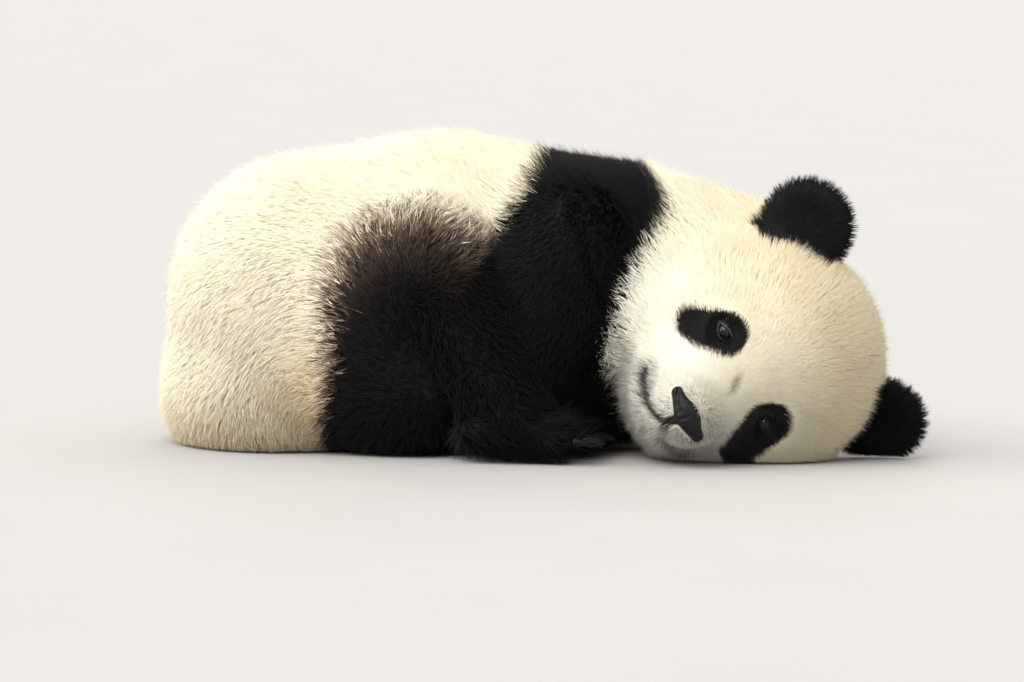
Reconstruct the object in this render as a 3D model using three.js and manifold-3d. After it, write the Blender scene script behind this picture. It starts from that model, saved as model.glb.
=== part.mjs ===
// A giant panda cub at life size, in millimetres, +Z up, resting on the plane z = 0.
// It sits on its rump, curled forward over its folded hind legs, with its left cheek on the
// ground and its face turned to -Y. All sizes run out to the tips of the coat.
//
// Each part of the flesh is a signed distance (negative inside) made of eggs and limbs, and the
// parts flow into one body. The body is then shared out: each part in turn keeps what lies in
// its knife, and that knife, swollen by the gap, is taken from every part that comes after it.

import * as THREE from "three";
import { mergeVertices } from "three/addons/utils/BufferGeometryUtils.js";
import Module from "manifold-3d";

const wasm = await Module();
wasm.setup();

// ---- Driving dimensions -------------------------------------------------------------------
const BACK_HEIGHT = 337; // ground to the top of the back
const TRUNK_WIDTH = 316; // flank to flank
const HEAD_WIDTH = 292; // cheek to cheek
const HEAD_ROLL = 65.2; // degrees that the crown leans from upright towards +X
const HEAD_TURN = 4.2; // degrees that the muzzle turns to the cub's left
const HEAD_NOD = 15.5; // degrees that the muzzle drops towards the chest
const EYE_SPACING = 104; // pupil to pupil
const EYE_RADIUS = 11.5;
const EAR_RADIUS = 54;
const NOSE_WIDTH = 58;
const CLAW_LENGTH = 21;
const CLAW_RADIUS = 4;
const GAP = 0.45; // between neighbouring solids

// Grid cells of the mesher, from broad masses to small features.
const CELL = { trunk: 42, limb: 33, head: 27, face: 17, paw: 21, tail: 20 };

const RIGHT = 1;
const LEFT = -1;
const { clamp, degToRad } = THREE.MathUtils;
const at = (x, y, z) => new THREE.Vector3(x, y, z);

// ---- Distances ----------------------------------------------------------------------------
// A field is a function of a point, and carries the box that it fills.

function field(distance, box) {
  distance.box = box;
  return distance;
}

// A rounded limb from a ball at a to a ball at b.
function limb(a, b, radiusA, radiusB) {
  const d = b.clone().sub(a);
  const dd = d.lengthSq();
  const box = new THREE.Box3().setFromPoints([
    a.clone().addScalar(radiusA),
    a.clone().subScalar(radiusA),
    b.clone().addScalar(radiusB),
    b.clone().subScalar(radiusB),
  ]);
  return field((p) => {
    const along = (p.x - a.x) * d.x + (p.y - a.y) * d.y + (p.z - a.z) * d.z;
    const t = clamp(along / dd, 0, 1);
    const off = Math.hypot(p.x - a.x - d.x * t, p.y - a.y - d.y * t, p.z - a.z - d.z * t);
    return off - radiusA - (radiusB - radiusA) * t;
  }, box);
}

// An ellipsoid with its axes along its frame.
function egg(centre, rx, ry, rz) {
  const box = new THREE.Box3().setFromCenterAndSize(centre, at(2 * rx, 2 * ry, 2 * rz));
  return field((p) => {
    const x = (p.x - centre.x) / rx;
    const y = (p.y - centre.y) / ry;
    const z = (p.z - centre.z) / rz;
    const k = Math.hypot(x, y, z);
    const slope = Math.hypot(x / rx, y / ry, z / rz);
    return slope > 0 ? (k * (k - 1)) / slope : -Math.min(rx, ry, rz);
  }, box);
}

function inFrame(frame, local) {
  const back = frame.clone().invert();
  const q = at(0, 0, 0);
  return field((p) => local(q.copy(p).applyMatrix4(back)), local.box.clone().applyMatrix4(frame));
}

// The smaller of two distances, rounded off over a width.
function smoothMin(a, b, width) {
  const h = Math.max(width - Math.abs(a - b), 0);
  return Math.min(a, b) - (h * h) / (4 * width);
}

function blend(width, ...fields) {
  const box = fields.reduce((sum, f) => sum.union(f.box), new THREE.Box3());
  return field((p) => fields.reduce((d, f) => smoothMin(d, f(p), width), 1e9), box);
}

// ---- Frames -------------------------------------------------------------------------------
// In the head's frame x runs to the cub's right, y to the muzzle and z to the crown.

function headFrame(centre) {
  const forward = at(0, -1, 0);
  const up = at(0, 0, 1).applyAxisAngle(at(0, 1, 0), degToRad(HEAD_ROLL));
  forward.applyAxisAngle(up, degToRad(HEAD_TURN));
  const right = forward.clone().cross(up);
  forward.applyAxisAngle(right, -degToRad(HEAD_NOD));
  up.applyAxisAngle(right, -degToRad(HEAD_NOD));
  return new THREE.Matrix4().makeBasis(right, forward, up).setPosition(centre);
}

const headAt = headFrame(at(222, -70, 103));

// A paw's frame has x across the toes, y along them and z up out of the back of the paw.
function pawFrame(centre, heading) {
  return new THREE.Matrix4().makeRotationZ(degToRad(heading - 90)).setPosition(centre);
}

// The lower ear is pushed back a little by the ground. An ear's frame has y out of its face.
const earRoots = { [RIGHT]: at(108, -24, 103), [LEFT]: at(-113, -24, 90) };

function earFrame(side) {
  const place = new THREE.Matrix4().makeTranslation(earRoots[side]);
  const open = new THREE.Matrix4().makeRotationZ(-side * degToRad(15));
  return headAt.clone().multiply(place).multiply(open);
}

// ---- Low shapes ---------------------------------------------------------------------------

// A ball stretched to three radii: a toe, an eye, or the press that makes a hollow.
function ball(frame, centre, rx, ry, rz, around = 8) {
  const shape = new THREE.SphereGeometry(1, around, Math.ceil(around / 2));
  return shape.scale(rx, ry, rz).translate(centre.x, centre.y, centre.z).applyMatrix4(frame);
}

function lathe(frame, profile, around) {
  const points = profile.map(([r, y]) => new THREE.Vector2(r, y));
  return new THREE.LatheGeometry(points, around).applyMatrix4(frame);
}

// A capsule round the limb from a to b, wider than its two balls by a margin.
function capsule(a, b, radiusA, radiusB, margin) {
  const [r, s] = [1.08 * (radiusA + margin), 1.08 * (radiusB + margin)];
  const length = a.distanceTo(b);
  const turn = new THREE.Quaternion();
  turn.setFromUnitVectors(at(0, 1, 0), b.clone().sub(a).normalize());
  const profile = [
    [0, -r],
    [r * 0.8, -r * 0.6],
    [r, 0],
    [s, length],
    [s * 0.8, length + s * 0.6],
    [0, length + s],
  ];
  return lathe(new THREE.Matrix4().compose(a, turn, at(1, 1, 1)), profile, 8);
}

// A block across the trunk from x = from to x = to at mid-height, leaning towards +X.
function slab(from, to, lean) {
  const middle = at((from + to) / 2, 0, BACK_HEIGHT / 2);
  const turn = new THREE.Matrix4().makeRotationY(degToRad(lean)).setPosition(middle);
  return new THREE.BoxGeometry(to - from, 700, 700).applyMatrix4(turn);
}

// A cupped, round ear.
function earShape(side) {
  const r = EAR_RADIUS;
  const profile = [
    [0, -13],
    [r * 0.6, -14],
    [r * 0.9, -9],
    [r, 0],
    [r * 0.93, 8],
    [r * 0.72, 8],
    [r * 0.4, 2],
    [0, -1],
  ];
  return lathe(earFrame(side), profile, 14);
}

// A spike bent down along its length.
function claw(frame) {
  const profile = [
    [0, 0],
    [CLAW_RADIUS, 0],
    [CLAW_RADIUS * 0.75, CLAW_LENGTH * 0.5],
    [0, CLAW_LENGTH],
  ];
  const spike = lathe(new THREE.Matrix4(), profile, 5);
  const place = spike.getAttribute("position");
  for (let i = 0; i < place.count; i++) {
    const bend = 0.24 * CLAW_LENGTH * (place.getY(i) / CLAW_LENGTH) ** 2;
    place.setZ(i, place.getZ(i) - bend);
  }
  return spike.applyMatrix4(frame);
}

// ---- Flesh --------------------------------------------------------------------------------
// Each part flows into the parts listed before it over its softness, and keeps what its knife
// holds of the body once the parts listed after it have theirs.

const flesh = [];

function part(name, shape, knife, options) {
  const { cell, softness = 45, colour = "cream", bumps = [], dents = [] } = options;
  flesh.push({ name, shape, knife, cell, softness, colour, bumps, dents });
}

const here = new THREE.Matrix4();
const midline = 12; // y of the spine
const halfTrunk = TRUNK_WIDTH / 2;
const backRadius = BACK_HEIGHT / 2;

const back = egg(at(-106, midline, backRadius), 197, halfTrunk, backRadius);
const haunch = egg(at(-250, midline, 150), 150, halfTrunk, 160);
const seat = egg(at(-292, midline, 50), 112, halfTrunk - 18, 98);
const shoulders = egg(at(15, midline, 150), 140, halfTrunk - 6, 160);
const nape = limb(at(100, midline, 172), at(205, 5, 156), 133, 116);
const stub = [at(-368, 26, 92), at(-384, 30, 38), 25, 21];

part("abdomen", back, slab(-420, 180, 16), { cell: CELL.trunk });
part("rump", blend(40, haunch, seat), slab(-720, -215, 0), { cell: CELL.trunk });
part("chest", shoulders, slab(-82, 500, 20), { cell: CELL.trunk, colour: "black" });
part("neck", nape, slab(152, 700, -20), { cell: CELL.trunk });
part("tail", limb(...stub), capsule(...stub, 9), { cell: CELL.tail, softness: 14 });

// ---- Legs ---------------------------------------------------------------------------------

const sideName = (side) => (side === RIGHT ? "right" : "left");

// Five toes in a shallow arc across the front of a paw.
const TOES = [-2, -1, 0, 1, 2];
const toeSpot = (i, width, length) => at((i * width) / 5.2, length / 2 - 3 * i * i, -8);

const paws = [];

function paw(name, centre, heading, width, length) {
  const frame = pawFrame(centre, heading);
  const heel = at(0, -length * 0.34, 2).applyMatrix4(frame);
  const instep = at(0, length * 0.2, 0).applyMatrix4(frame);
  const sole = [heel, instep, width * 0.38, width * 0.42];
  part(name, limb(...sole), capsule(...sole, 12), {
    cell: CELL.paw,
    softness: 14,
    colour: "black",
    bumps: TOES.map((i) => ball(frame, toeSpot(i, width, length), 9, 17, 13, 6)),
  });
  paws.push({ name, frame, width, length });
}

function hindLeg(side, { hip, knee, ham, ankle, foot, heading }) {
  const name = sideName(side);
  const thigh = blend(40, limb(hip, knee, 92, 68), egg(ham, 98, 62, 84));
  const middle = hip.clone().add(knee).add(ham).divideScalar(3);
  const shin = [knee, ankle, 64, 42];
  const look = { cell: CELL.limb, colour: "black" };
  part("thigh_" + name, thigh, ball(here, middle, 118, 118, 144, 10), look);
  part("shin_" + name, limb(...shin), capsule(...shin, 14), { ...look, softness: 16 });
  paw("hind_paw_" + name, foot, heading, 76, 128);
}

function foreLeg(side, { shoulder, elbow, wrist, hand, heading }) {
  const name = sideName(side);
  const upper = [shoulder, elbow, 84, 56];
  const lower = [elbow, wrist, 50, 38];
  const look = { cell: CELL.limb, colour: "black" };
  part("upper_arm_" + name, limb(...upper), capsule(...upper, 18), look);
  part("forearm_" + name, limb(...lower), capsule(...lower, 12), { ...look, softness: 16 });
  paw("fore_paw_" + name, hand, heading, 74, 92);
}

hindLeg(RIGHT, {
  hip: at(-205, -52, 120),
  knee: at(-122, -122, 200),
  ham: at(-150, -98, 78),
  ankle: at(-36, -150, 50),
  foot: at(-24, -154, 31),
  heading: -3,
});
hindLeg(LEFT, {
  hip: at(-205, 80, 120),
  knee: at(-130, 146, 192),
  ham: at(-155, 122, 78),
  ankle: at(-52, 176, 50),
  foot: at(-40, 182, 31),
  heading: 10,
});
foreLeg(RIGHT, {
  shoulder: at(28, -62, 212),
  elbow: at(-30, -100, 74),
  wrist: at(-18, -97, 38),
  hand: at(6, -96, 30),
  heading: 4,
});
foreLeg(LEFT, {
  shoulder: at(30, 88, 208),
  elbow: at(34, 122, 74),
  wrist: at(104, 130, 38),
  hand: at(136, 132, 30),
  heading: 4,
});

// ---- Head ---------------------------------------------------------------------------------

const eyeSpot = (side) => at((side * EYE_SPACING) / 2, 74, 5);
const socket = (side) => ball(headAt, eyeSpot(side).add(at(0, 20, 0)), 19, 14, 15, 10);
const cheek = (side) => egg(at(side * 60, -2, -32), HEAD_WIDTH / 2 - 60, 88, 90);
const cranium = egg(at(0, -12, 20), 126, 112, 119);
const throat = egg(at(0, 26, -74), 92, 88, 70);
const skull = blend(30, cranium, cheek(RIGHT), cheek(LEFT), throat);
const snout = limb(at(0, 76, -36), at(0, 126, -50), 60, 42);
const chin = egg(at(0, 96, -86), 46, 44, 32);

part("head", inFrame(headAt, skull), ball(headAt, at(0, -2, 2), 168, 146, 162, 14), {
  cell: CELL.head,
  softness: 24,
  dents: [socket(RIGHT), socket(LEFT)],
});
part("muzzle", inFrame(headAt, snout), ball(headAt, at(0, 124, -46), 76, 66, 68, 12), {
  cell: CELL.face,
  softness: 26,
});
part("jaw", inFrame(headAt, chin), ball(headAt, at(0, 108, -106), 62, 52, 40, 10), {
  cell: CELL.face,
  softness: 12,
});

// The blended body above the ground.
function bodyAt(p) {
  const skin = flesh.reduce((d, { shape, softness }) => smoothMin(d, shape(p), softness), 1e9);
  return Math.max(skin, -p.z);
}

// ---- Mesher -------------------------------------------------------------------------------
// Slides a point onto the surface along the slope of the distance, by no more than most.
function settle(p, distance, most) {
  const e = 0.5;
  const away = (axis) => p.clone().setComponent(axis, p.getComponent(axis) + e);
  const here = distance(p);
  const slope = at(...[0, 1, 2].map((axis) => (distance(away(axis)) - here) / e));
  return p.addScaledVector(slope, clamp(-here / slope.lengthSq(), -most, most));
}

// Surface nets: one vertex in each grid cell that the surface crosses, near the mean of the
// crossings on its edges, and one quad round each grid edge that it crosses.

function meshOf(distance, box, cell) {
  const low = box.min.clone().subScalar(1.4 * cell);
  low.z = (Math.floor(low.z / cell) - 0.5) * cell;
  const count = box.max.clone().sub(low).divideScalar(cell).toArray().map((n) => Math.ceil(n) + 3);
  const step = [1, count[0], count[0] * count[1]];
  const sample = new Float64Array(step[2] * count[2]);
  const p = at(0, 0, 0);
  const placeOf = (i) => [i % count[0], Math.floor(i / step[1]) % count[1], Math.floor(i / step[2])];
  for (let i = 0; i < sample.length; i++)
    sample[i] = distance(p.fromArray(placeOf(i)).multiplyScalar(cell).add(low));

  const corners = [0, 1, 2, 3, 4, 5, 6, 7].map((c) => [c & 1, (c >> 1) & 1, c >> 2]);
  const offsets = corners.map((c) => c[0] * step[0] + c[1] * step[1] + c[2] * step[2]);
  const edges = [];
  for (let a = 0; a < 8; a++)
    for (const bit of [1, 2, 4]) if (!(a & bit)) edges.push([a, a | bit]);

  const floor = at(-Infinity, -Infinity, 0);
  const vertices = [];
  const vertexOf = new Map();
  for (let i = 0; i < sample.length; i++) {
    const here = placeOf(i);
    if (here.some((n, axis) => n >= count[axis] - 1)) continue;
    const sum = at(0, 0, 0);
    let crossings = 0;
    for (const [a, b] of edges) {
      const da = sample[i + offsets[a]];
      const db = sample[i + offsets[b]];
      if (da < 0 === db < 0) continue;
      const t = da / (da - db);
      sum.add(at(...corners[a]).lerp(at(...corners[b]), t));
      crossings++;
    }
    if (!crossings) continue;
    const mean = sum.divideScalar(crossings).add(at(...here)).multiplyScalar(cell).add(low);
    const spot = settle(mean, distance, cell / 4).max(floor);
    vertexOf.set(i, vertices.length / 3);
    vertices.push(...spot.toArray());
  }

  const triangles = [];
  for (let i = 0; i < sample.length; i++) {
    const here = placeOf(i);
    for (let axis = 0; axis < 3; axis++) {
      const [b, c] = [(axis + 1) % 3, (axis + 2) % 3];
      if (here[axis] >= count[axis] - 1 || !here[b] || !here[c]) continue;
      const inside = sample[i] < 0;
      if (inside === sample[i + step[axis]] < 0) continue;
      const ring = [-step[b] - step[c], -step[c], 0, -step[b]].map((o) => vertexOf.get(i + o));
      const [v0, v1, v2, v3] = inside ? ring : ring.reverse();
      triangles.push(v0, v1, v2, v0, v2, v3);
    }
  }
  return new THREE.BufferGeometry()
    .setAttribute("position", new THREE.BufferAttribute(new Float32Array(vertices), 3))
    .setIndex(triangles);
}

// ---- Solids -------------------------------------------------------------------------------

// The bare surface of a geometry, with one vertex at each place.
function weld(geometry) {
  const bare = geometry.clone();
  bare.deleteAttribute("normal");
  bare.deleteAttribute("uv");
  return mergeVertices(bare, 1e-3);
}

function solidOf(geometry) {
  const welded = weld(geometry);
  const vertProperties = new Float32Array(welded.getAttribute("position").array);
  const triVerts = new Uint32Array(welded.index.array);
  return new wasm.Manifold(new wasm.Mesh({ numProp: 3, vertProperties, triVerts }));
}

// The surface of a solid, without the specks that cutting leaves along its seams.
function geometryOf(solid) {
  const { numProp, numVert, triVerts, vertProperties } = solid.getMesh();
  const places = new Float32Array(numVert * 3);
  for (let i = 0; i < numVert; i++)
    places.set(vertProperties.subarray(i * numProp, i * numProp + 3), i * 3);
  const surface = new THREE.BufferGeometry()
    .setAttribute("position", new THREE.BufferAttribute(places, 3))
    .setIndex(new THREE.BufferAttribute(triVerts, 1));
  const welded = mergeVertices(surface, 0.02);
  const corners = welded.index.array;
  const kept = [];
  for (let i = 0; i < corners.length; i += 3) {
    const [a, b, c] = corners.subarray(i, i + 3);
    if (a !== b && b !== c && c !== a) kept.push(a, b, c);
  }
  return welded.setIndex(kept);
}

// The same surface moved outwards along its vertex normals.
function swollen(geometry, by) {
  const grown = weld(geometry);
  grown.computeVertexNormals();
  const place = grown.getAttribute("position");
  const normal = grown.getAttribute("normal");
  const p = at(0, 0, 0);
  const n = at(0, 0, 0);
  for (let i = 0; i < place.count; i++) {
    p.fromBufferAttribute(place, i).addScaledVector(n.fromBufferAttribute(normal, i), by);
    place.setXYZ(i, p.x, p.y, p.z);
  }
  return solidOf(grown);
}

const largest = (solid) =>
  solid.decompose().reduce((most, s) => (s.volume() > most.volume() ? s : most));

function boxOf(geometry) {
  geometry.computeBoundingBox();
  return geometry.boundingBox.clone();
}

const COLOURS = {
  cream: { color: 0xf1e8cb, roughness: 0.95, metalness: 0 },
  black: { color: 0x17151a, roughness: 0.9, metalness: 0 },
  skin: { color: 0x1a1a1c, roughness: 0.45, metalness: 0 },
  eye: { color: 0x120d0a, roughness: 0.08, metalness: 0 },
  horn: { color: 0x2a2521, roughness: 0.4, metalness: 0 },
};

const cub = new THREE.Group();
const taken = []; // what every later part is cut back to, as swollen solids with their boxes

function take(geometry) {
  taken.push({ tool: swollen(geometry, GAP), box: boxOf(geometry).expandByScalar(GAP) });
}

function cutBack(solid, extent, dents) {
  let rest = solid;
  for (const dent of dents) rest = rest.subtract(solidOf(dent));
  for (const { tool, box } of taken) if (box.intersectsBox(extent)) rest = rest.subtract(tool);
  return largest(rest);
}

function add(name, solid, colour) {
  const mesh = new THREE.Mesh(geometryOf(solid), new THREE.MeshStandardMaterial(COLOURS[colour]));
  mesh.name = name;
  cub.add(mesh);
}

// Adds a part of its own shape, which every later part is cut back to.
function addShape(name, geometry, colour, dents = []) {
  add(name, cutBack(solidOf(geometry), boxOf(geometry), dents), colour);
  take(geometry);
}

function addFlesh({ name, knife, cell, colour, bumps, dents }) {
  const region = boxOf(knife).intersect(bodyBox).expandByScalar(cell / 2);
  const rough = meshOf((p) => Math.max(bodyAt(p), region.distanceToPoint(p) - cell), region, cell);
  let solid = solidOf(rough).intersect(solidOf(knife));
  for (const bump of bumps) solid = solid.add(solidOf(bump));
  add(name, cutBack(solid, boxOf(knife), dents), colour);
  for (const tool of [knife, ...bumps]) take(tool);
}

const ground = new THREE.BoxGeometry(1500, 1500, 200).translate(0, 0, -100);

// Eyes, ears, nose and claws keep their own shapes, so they come before the flesh.
for (const side of [RIGHT, LEFT]) {
  const eye = ball(headAt, eyeSpot(side), EYE_RADIUS, EYE_RADIUS, EYE_RADIUS, 12);
  addShape("eye_" + sideName(side), eye, "eye");
  addShape("ear_" + sideName(side), earShape(side), "black", [ground]);
}

const nosePad = ball(headAt, at(0, 156, -38), NOSE_WIDTH / 2, 17, 17, 12);
const nostril = (side) => ball(headAt, at(side * 15, 170, -42), 6, 9, 5, 6);
addShape("nose", nosePad, "skin", [nostril(RIGHT), nostril(LEFT)]);

for (const { name, frame, width, length } of paws) {
  TOES.forEach((i) => {
    const root = toeSpot(i, width, length).add(at(0, 7, 2));
    const place = frame.clone().multiply(new THREE.Matrix4().makeTranslation(root));
    addShape("claw_" + name.replace("_paw", "") + "_" + (i + 3), claw(place), "horn");
  });
}

// The last parts to flow in are the smallest, and they are the first to be cut free.
const bodyBox = flesh.reduce((sum, { shape }) => sum.union(shape.box), new THREE.Box3());
flesh.toReversed().forEach(addFlesh);

// The part's origin is the middle of its footprint.
const box = new THREE.Box3().setFromObject(cub);
cub.position.set(-(box.min.x + box.max.x) / 2, -(box.min.y + box.max.y) / 2, -box.min.z);

const panda = new THREE.Group();
panda.name = "giant_panda_cub";
panda.add(cub);
export default panda;
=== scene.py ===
"""A giant panda cub at life size: a skin with a coat of solid locks, eyes, nose, claws and whiskers.

Shapes are worked out in millimetres in the cub's own frame (+X to the crown side, -Y to the front,
+Z up) and are set on the CAD frame in metres at the end. A shape is a distance: negative inside.
"""

import math

import bpy
import numpy as np
from mathutils import Matrix, Vector
from mathutils.kdtree import KDTree


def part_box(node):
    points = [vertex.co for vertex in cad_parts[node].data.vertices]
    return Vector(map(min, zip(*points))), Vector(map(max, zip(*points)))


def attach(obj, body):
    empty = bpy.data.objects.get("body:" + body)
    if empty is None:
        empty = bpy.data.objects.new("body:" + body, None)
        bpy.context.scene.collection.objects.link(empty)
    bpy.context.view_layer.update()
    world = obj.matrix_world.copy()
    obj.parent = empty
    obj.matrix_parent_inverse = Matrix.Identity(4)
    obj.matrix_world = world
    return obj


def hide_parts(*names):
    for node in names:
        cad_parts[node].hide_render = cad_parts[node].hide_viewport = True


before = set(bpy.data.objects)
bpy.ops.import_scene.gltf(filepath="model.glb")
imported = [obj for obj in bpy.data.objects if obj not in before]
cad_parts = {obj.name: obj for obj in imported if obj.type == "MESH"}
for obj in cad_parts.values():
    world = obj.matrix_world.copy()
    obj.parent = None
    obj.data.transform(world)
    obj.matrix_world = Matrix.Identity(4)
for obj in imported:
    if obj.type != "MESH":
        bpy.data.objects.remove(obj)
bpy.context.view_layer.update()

# ---- Driving dimensions, in millimetres, the same as the CAD part's -------------------------
BACK_HEIGHT = 337.0  # ground to the top of the back
TRUNK_WIDTH = 316.0  # flank to flank
HEAD_WIDTH = 292.0  # cheek to cheek
HEAD_ROLL = 65.2  # degrees that the crown leans from upright towards +X
HEAD_TURN = 4.2  # degrees that the muzzle turns to the cub's left
HEAD_NOD = 15.5  # degrees that the muzzle drops towards the chest
HEAD_CENTRE = (222.0, -70.0, 103.0)
EYE_SPACING = 104.0
EYE_RADIUS = 11.5
EAR_RADIUS = 54.0
MIDLINE = 12.0  # y of the spine
RIGHT = 1
LEFT = -1
SIDES = {RIGHT: "right", LEFT: "left"}

# How softly a part flows into those before it.
TRUNK_SOFT = 45
LEG_SOFT = (45, 16, 14)  # thigh or upper arm, shin or forearm, and paw
HEAD_SOFT = 24
MUZZLE_SOFT = 26
JAW_SOFT = 12
EAR_SOFT = 12


# ---- Frames ---------------------------------------------------------------------------------
# A frame is (axes, origin), with the axes as the columns of a 3 by 3 array.


def turned(vector, axis, degrees):
    return np.array(Matrix.Rotation(math.radians(degrees), 3, Vector(axis)) @ Vector(vector))


def head_frame():
    """x to the cub's right, y to the muzzle, z to the crown."""
    up = turned((0, 0, 1), (0, 1, 0), HEAD_ROLL)
    forward = turned((0, -1, 0), up, HEAD_TURN)
    right = np.cross(forward, up)
    forward = turned(forward, right, -HEAD_NOD)
    up = turned(up, right, -HEAD_NOD)
    return np.stack([right, forward, up], 1), np.array(HEAD_CENTRE)


HEAD = head_frame()
EAR_ROOT = {RIGHT: np.array((108.0, -24.0, 103.0)), LEFT: np.array((-113.0, -24.0, 90.0))}
EAR_OPENING = 15.0  # degrees that an ear's face turns outwards


def inside(frame_of, points):
    """World points in a frame's own coordinates."""
    return (points - frame_of[1]) @ frame_of[0]


def outside(frame_of, points):
    """A frame's own points, in the world."""
    return np.asarray(points, float) @ frame_of[0].T + frame_of[1]


def inner_frame(frame_of, origin, axis=(0, 0, 1), degrees=0.0):
    spin = np.array(Matrix.Rotation(math.radians(degrees), 3, Vector(axis)))
    return frame_of[0] @ spin, outside(frame_of, origin)


EAR = {side: inner_frame(HEAD, EAR_ROOT[side], degrees=-side * EAR_OPENING) for side in SIDES}


def paw_frame(centre, heading):
    """x across the toes, y along them and z up out of the back of the paw."""
    return inner_frame((np.eye(3), np.zeros(3)), centre, degrees=heading - 90)


# ---- Distances ------------------------------------------------------------------------------


def limb(points, a, b, radius_a, radius_b):
    """A rounded limb from a ball at a to a ball at b."""
    a, b = np.asarray(a, float), np.asarray(b, float)
    along = b - a
    t = np.clip((points - a) @ along / (along @ along), 0, 1)
    off = np.linalg.norm(points - a - t[:, None] * along, axis=1)
    return off - radius_a - (radius_b - radius_a) * t


def egg(points, centre, radii):
    """An ellipsoid with its axes along the frame's."""
    scaled = (points - np.asarray(centre, float)) / np.asarray(radii, float)
    k = np.linalg.norm(scaled, axis=1)
    slope = np.linalg.norm(scaled / np.asarray(radii, float), axis=1)
    return k * (k - 1) / np.maximum(slope, 1e-6)


def smooth_min(a, b, width):
    h = np.maximum(width - np.abs(a - b), 0)
    return np.minimum(a, b) - h * h / (4 * width)


def smooth_max(a, b, width):
    return -smooth_min(-a, -b, width)


def smooth_step(low, high, value):
    t = np.clip((value - low) / (high - low), 0, 1)
    return t * t * (3 - 2 * t)


def bell(value, middle, spread):
    return np.exp(-(((value - middle) / spread) ** 2))


def unit(vectors):
    return vectors / np.maximum(np.linalg.norm(vectors, axis=-1, keepdims=True), 1e-9)


# ---- The body out to the tips of the coat ---------------------------------------------------
# Legs are rows of joints from the body outwards: the same places as the CAD part's.

HIND = {
    RIGHT: dict(
        hip=(-205, -52, 120), knee=(-122, -122, 200), ham=(-150, -98, 78), ankle=(-36, -150, 50),
        foot=(-24, -154, 31), heading=-3,
    ),
    LEFT: dict(
        hip=(-205, 80, 120), knee=(-130, 146, 192), ham=(-155, 122, 78), ankle=(-52, 176, 50),
        foot=(-40, 182, 31), heading=10,
    ),
}
FORE = {
    RIGHT: dict(
        shoulder=(28, -62, 212), elbow=(-30, -100, 74), wrist=(-18, -97, 38), foot=(6, -96, 30),
        heading=4,
    ),
    LEFT: dict(
        shoulder=(30, 88, 208), elbow=(34, 122, 74), wrist=(104, 130, 38), foot=(136, 132, 30),
        heading=4,
    ),
}
HIND_PAW = (76.0, 128.0)  # width and length
FORE_PAW = (74.0, 92.0)
TOES = (-2, -1, 0, 1, 2)


def toe_spot(i, size):
    width, length = size
    return np.array((i * width / 5.2, length / 2 - 3 * i * i, -8.0))


def paw(points, leg, size):
    width, length = size
    place = paw_frame(leg["foot"], leg["heading"])
    local = inside(place, points)
    heel, instep = (0, -0.34 * length, 2), (0, 0.2 * length, 0)
    shape = limb(local, heel, instep, 0.38 * width, 0.42 * width)
    for i in TOES:
        shape = smooth_min(shape, egg(local, toe_spot(i, size), (9, 17, 13)), 4)
    return shape


def hind_leg(points, leg):
    thigh = smooth_min(
        limb(points, leg["hip"], leg["knee"], 92, 68), egg(points, leg["ham"], (98, 62, 84)), 40
    )
    shin = limb(points, leg["knee"], leg["ankle"], 64, 42)
    return thigh, shin, paw(points, leg, HIND_PAW)


def fore_leg(points, leg):
    upper = limb(points, leg["shoulder"], leg["elbow"], 84, 56)
    lower = limb(points, leg["elbow"], leg["wrist"], 50, 38)
    return upper, lower, paw(points, leg, FORE_PAW)


def nape(points):
    return limb(points, (100, MIDLINE, 172), (205, 5, 156), 133, 116)


def tail(points):
    return limb(points, (-368, 26, 92), (-384, 30, 38), 25, 21)


def trunk(points):
    half, up = TRUNK_WIDTH / 2, BACK_HEIGHT / 2
    shape = egg(points, (-106, MIDLINE, up), (197, half, up))
    haunch = egg(points, (-250, MIDLINE, 150), (150, half, 160))
    seat = egg(points, (-292, MIDLINE, 50), (112, half - 18, 98))
    shoulders = egg(points, (15, MIDLINE, 150), (140, half - 6, 160))
    for part in (smooth_min(haunch, seat, 40), shoulders, nape(points)):
        shape = smooth_min(shape, part, TRUNK_SOFT)
    return smooth_min(shape, tail(points), 14)


def limbs(points):
    """For each leg, the distances to its thigh or upper arm, its shin or forearm and its paw."""
    rows = (("hind", hind_leg, HIND), ("fore", fore_leg, FORE))
    return {(word, side): leg(points, places[side]) for word, leg, places in rows for side in SIDES}


def body_without_head(points):
    shape = trunk(points)
    for parts in limbs(points).values():
        for part, width in zip(parts, LEG_SOFT):
            shape = smooth_min(shape, part, width)
    return shape


def skull(local):
    shape = egg(local, (0, -12, 20), (126, 112, 119))
    for side in SIDES:
        shape = smooth_min(shape, egg(local, (side * 60, -2, -32), (HEAD_WIDTH / 2 - 60, 88, 90)), 30)
    return smooth_min(shape, egg(local, (0, 26, -74), (92, 88, 70)), 30)


def muzzle(local):
    return limb(local, (0, 76, -36), (0, 126, -50), 60, 42)


def jaw(local):
    return egg(local, (0, 96, -86), (46, 44, 32))


def ear(points, side):
    """A round, cupped ear."""
    local = inside(EAR[side], points)
    disc = egg(local, (0, -4, 0), (EAR_RADIUS, 16, EAR_RADIUS))
    cup = egg(local, (0, 19, 0), (EAR_RADIUS * 0.72, 15, EAR_RADIUS * 0.72))
    return smooth_max(disc, -cup, 8)


def ears(points):
    return np.minimum(ear(points, RIGHT), ear(points, LEFT))


def head(points):
    local = inside(HEAD, points)
    shape = smooth_min(skull(local), muzzle(local), MUZZLE_SOFT)
    return smooth_min(shape, jaw(local), JAW_SOFT)


# ---- The skin -------------------------------------------------------------------------------
# Depth of the coat over the skin, by region.
DEPTH = dict(
    body=16.0, leg=14.0, paw=6.0, head=13.0, face=7.0, muzzle=4.0, chin=12.0, eye=2.6, nose=4.5,
    ear=7.0, tail=9.0,
)
SKIN_FLOOR = 2.5  # the skin keeps this far off the ground, on pressed fur

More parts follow.
